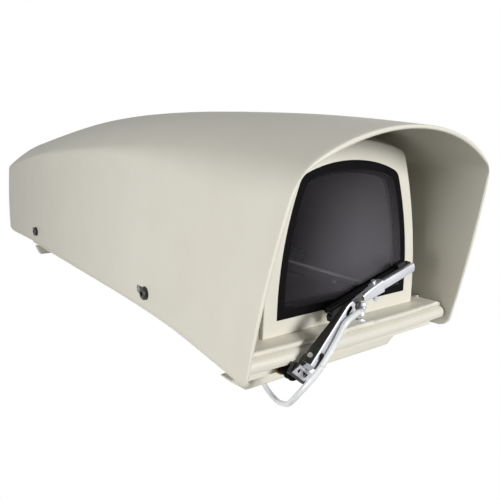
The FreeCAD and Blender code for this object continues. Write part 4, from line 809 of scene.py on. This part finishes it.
gaiter_profile = [(3.2, -0.6), (5.2, -0.5), (5.6, 0.4), (5.2, 1.3), (4.4, 1.8), (5.3, 2.6), (5.5, 4.2), (4.6, 5.0),
                  (4.6, 10.6), (3.2, 10.9)]
shaft_profile = [(2.6, -2.6), (3.0, -2.2), (3.0, 57.6), (2.6, 58.0)]
for name, shape, material, node, body, slot in (
        ("bracket_pressing", blade_bracket(), stainless, "blade_bracket", "arm", "stainless"),
        ("folded_spine", blade_spine(), stainless, "blade_spine", "blade", "stainless"),
        ("rubber_holder", blade_holder(), black_nylon, "blade_holder", "blade", "black_plastic"),
        ("squeegee", blade_rubber(), rubber, "blade_rubber", "blade", "black_rubber"),
        ("rocking_pin", rocking_pin(), stainless, "rock_pin", "arm", "stainless"),
        ("clamp_flange", head_flange(), black_oxide, None, "wiper_drive", "black_screws"),
        ("elbow_nozzle", washer_nozzle(), stainless, "washer_nozzle", "arm", "stainless"),
        ("folded_gaiter", at_shaft(gaiter_profile), rubber, "shaft_gaiter", "housing", "black_rubber"),
        ("drive_shaft", at_shaft(shaft_profile), stainless, "wiper_shaft", "wiper_drive", "stainless")):
    piece = mesh_object(name, *in_part(shape), material, body)
    sharpen(piece, crisp_angle)
    bevelled(piece, edge_rounding)
    if node:
        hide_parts(node)


# Finishes of the CAD pieces that are shown as they are

dressing = {
    powder_coat: "base_plate front_foot rear_foot",
    lined_body: "inner_body",
    lined_plate: "rear_plate",
    cast_coat: "base_tray window_frame",
    zinc: "foot_screws frame_screws plate_lock_screw camera_screw plate_screws deck_screws body_screws "
          "rear_plate_screws",
    black_oxide: "cover_screws",
    stainless: "lift_rivet wiper_motor",
    anodised: "camera_plate heater",
    rubber: "window_gasket",
    black_nylon: "hose_outlet gland_bodies gland_caps gland_nuts thermostat terminal_block "
                 "wiper_gearbox",
    white_nylon: "cover_spacers",
    bronze: "shaft_bush",
    solder_mask: "terminal_board",
    glass: "window_glass",
}
for material, names in dressing.items():
    for name in names.split():
        for slot in nodes[name].material_slots:
            slot.material = material


# Floor, light and backdrop

floor_reach = 4.0
floor_height = -0.15


def white_when_seen(tree):
    """One for rays from the camera, in gloss or through a clear piece, and zero for those that light."""
    ray = add(tree, "LightPath").outputs
    seen = add(tree, "Math", {0: ray["Is Camera Ray"], 1: ray["Is Glossy Ray"]}, operation="MAXIMUM").outputs[0]
    return add(tree, "Math", {0: seen, 1: ray["Is Transmission Ray"]}, operation="MAXIMUM").outputs[0]


def floor():
    """A wide pale sheet below the housing, white to the camera and in reflections, that keeps the shadow."""
    line = np.linspace(-floor_reach, floor_reach, 3)
    x, y = np.meshgrid(line, line, indexing="ij")
    points = np.stack([x, y, np.full_like(x, floor_height)], -1).reshape(-1, 3)
    material, tree, out = blank("pale_studio_floor")
    paper = add(tree, "BsdfDiffuse", {"Color": linear("8c8c8a")})
    white = add(tree, "Emission", {"Color": (1, 1, 1, 1), "Strength": 1.0})
    mixed = add(tree, "MixShader", {0: white_when_seen(tree), 1: paper.outputs[0], 2: white.outputs[0]})
    tree.links.new(mixed.outputs[0], out.inputs["Surface"])
    made = mesh_object("studio_floor", points, grid_faces(3, 3, closed=False), material, None, smooth=False)


floor()


def backdrop(level):
    """World that is white to the camera and in reflections, and lights the object evenly at a lower level."""
    world = bpy.data.worlds.new("studio")
    world.use_nodes = True
    world.node_tree.nodes.clear()
    tree = world.node_tree
    strength = add(tree, "MapRange", {"Value": white_when_seen(tree), "To Min": level, "To Max": 1.0}).outputs[0]
    back = add(tree, "Background", {"Color": (1, 1, 1, 1), "Strength": strength})
    tree.links.new(back.outputs[0], add(tree, "OutputWorld").inputs["Surface"])
    bpy.context.scene.world = world


def lamp(name, place, aim, size, power):
    """A square soft lamp at a place, turned to a point."""
    data = bpy.data.lights.new(name, "AREA")
    data.size, data.energy = size, power
    made = bpy.data.objects.new(name, data)
    way = Vector(aim) - Vector(place)
    made.matrix_world = Matrix.Translation(place) @ way.to_track_quat("-Z", "Y").to_matrix().to_4x4()
    bpy.context.scene.collection.objects.link(made)


backdrop(0.055)
lamp("side_light", (-0.95, -0.29, 0.13), (0.0, -0.17, 0.08), 0.45, 7.0)
lamp("front_light", (0.2, -1.5, 0.5), (0.0, -0.25, 0.08), 0.4, 17.5)

bpy.context.scene.view_settings.view_transform = "Standard"
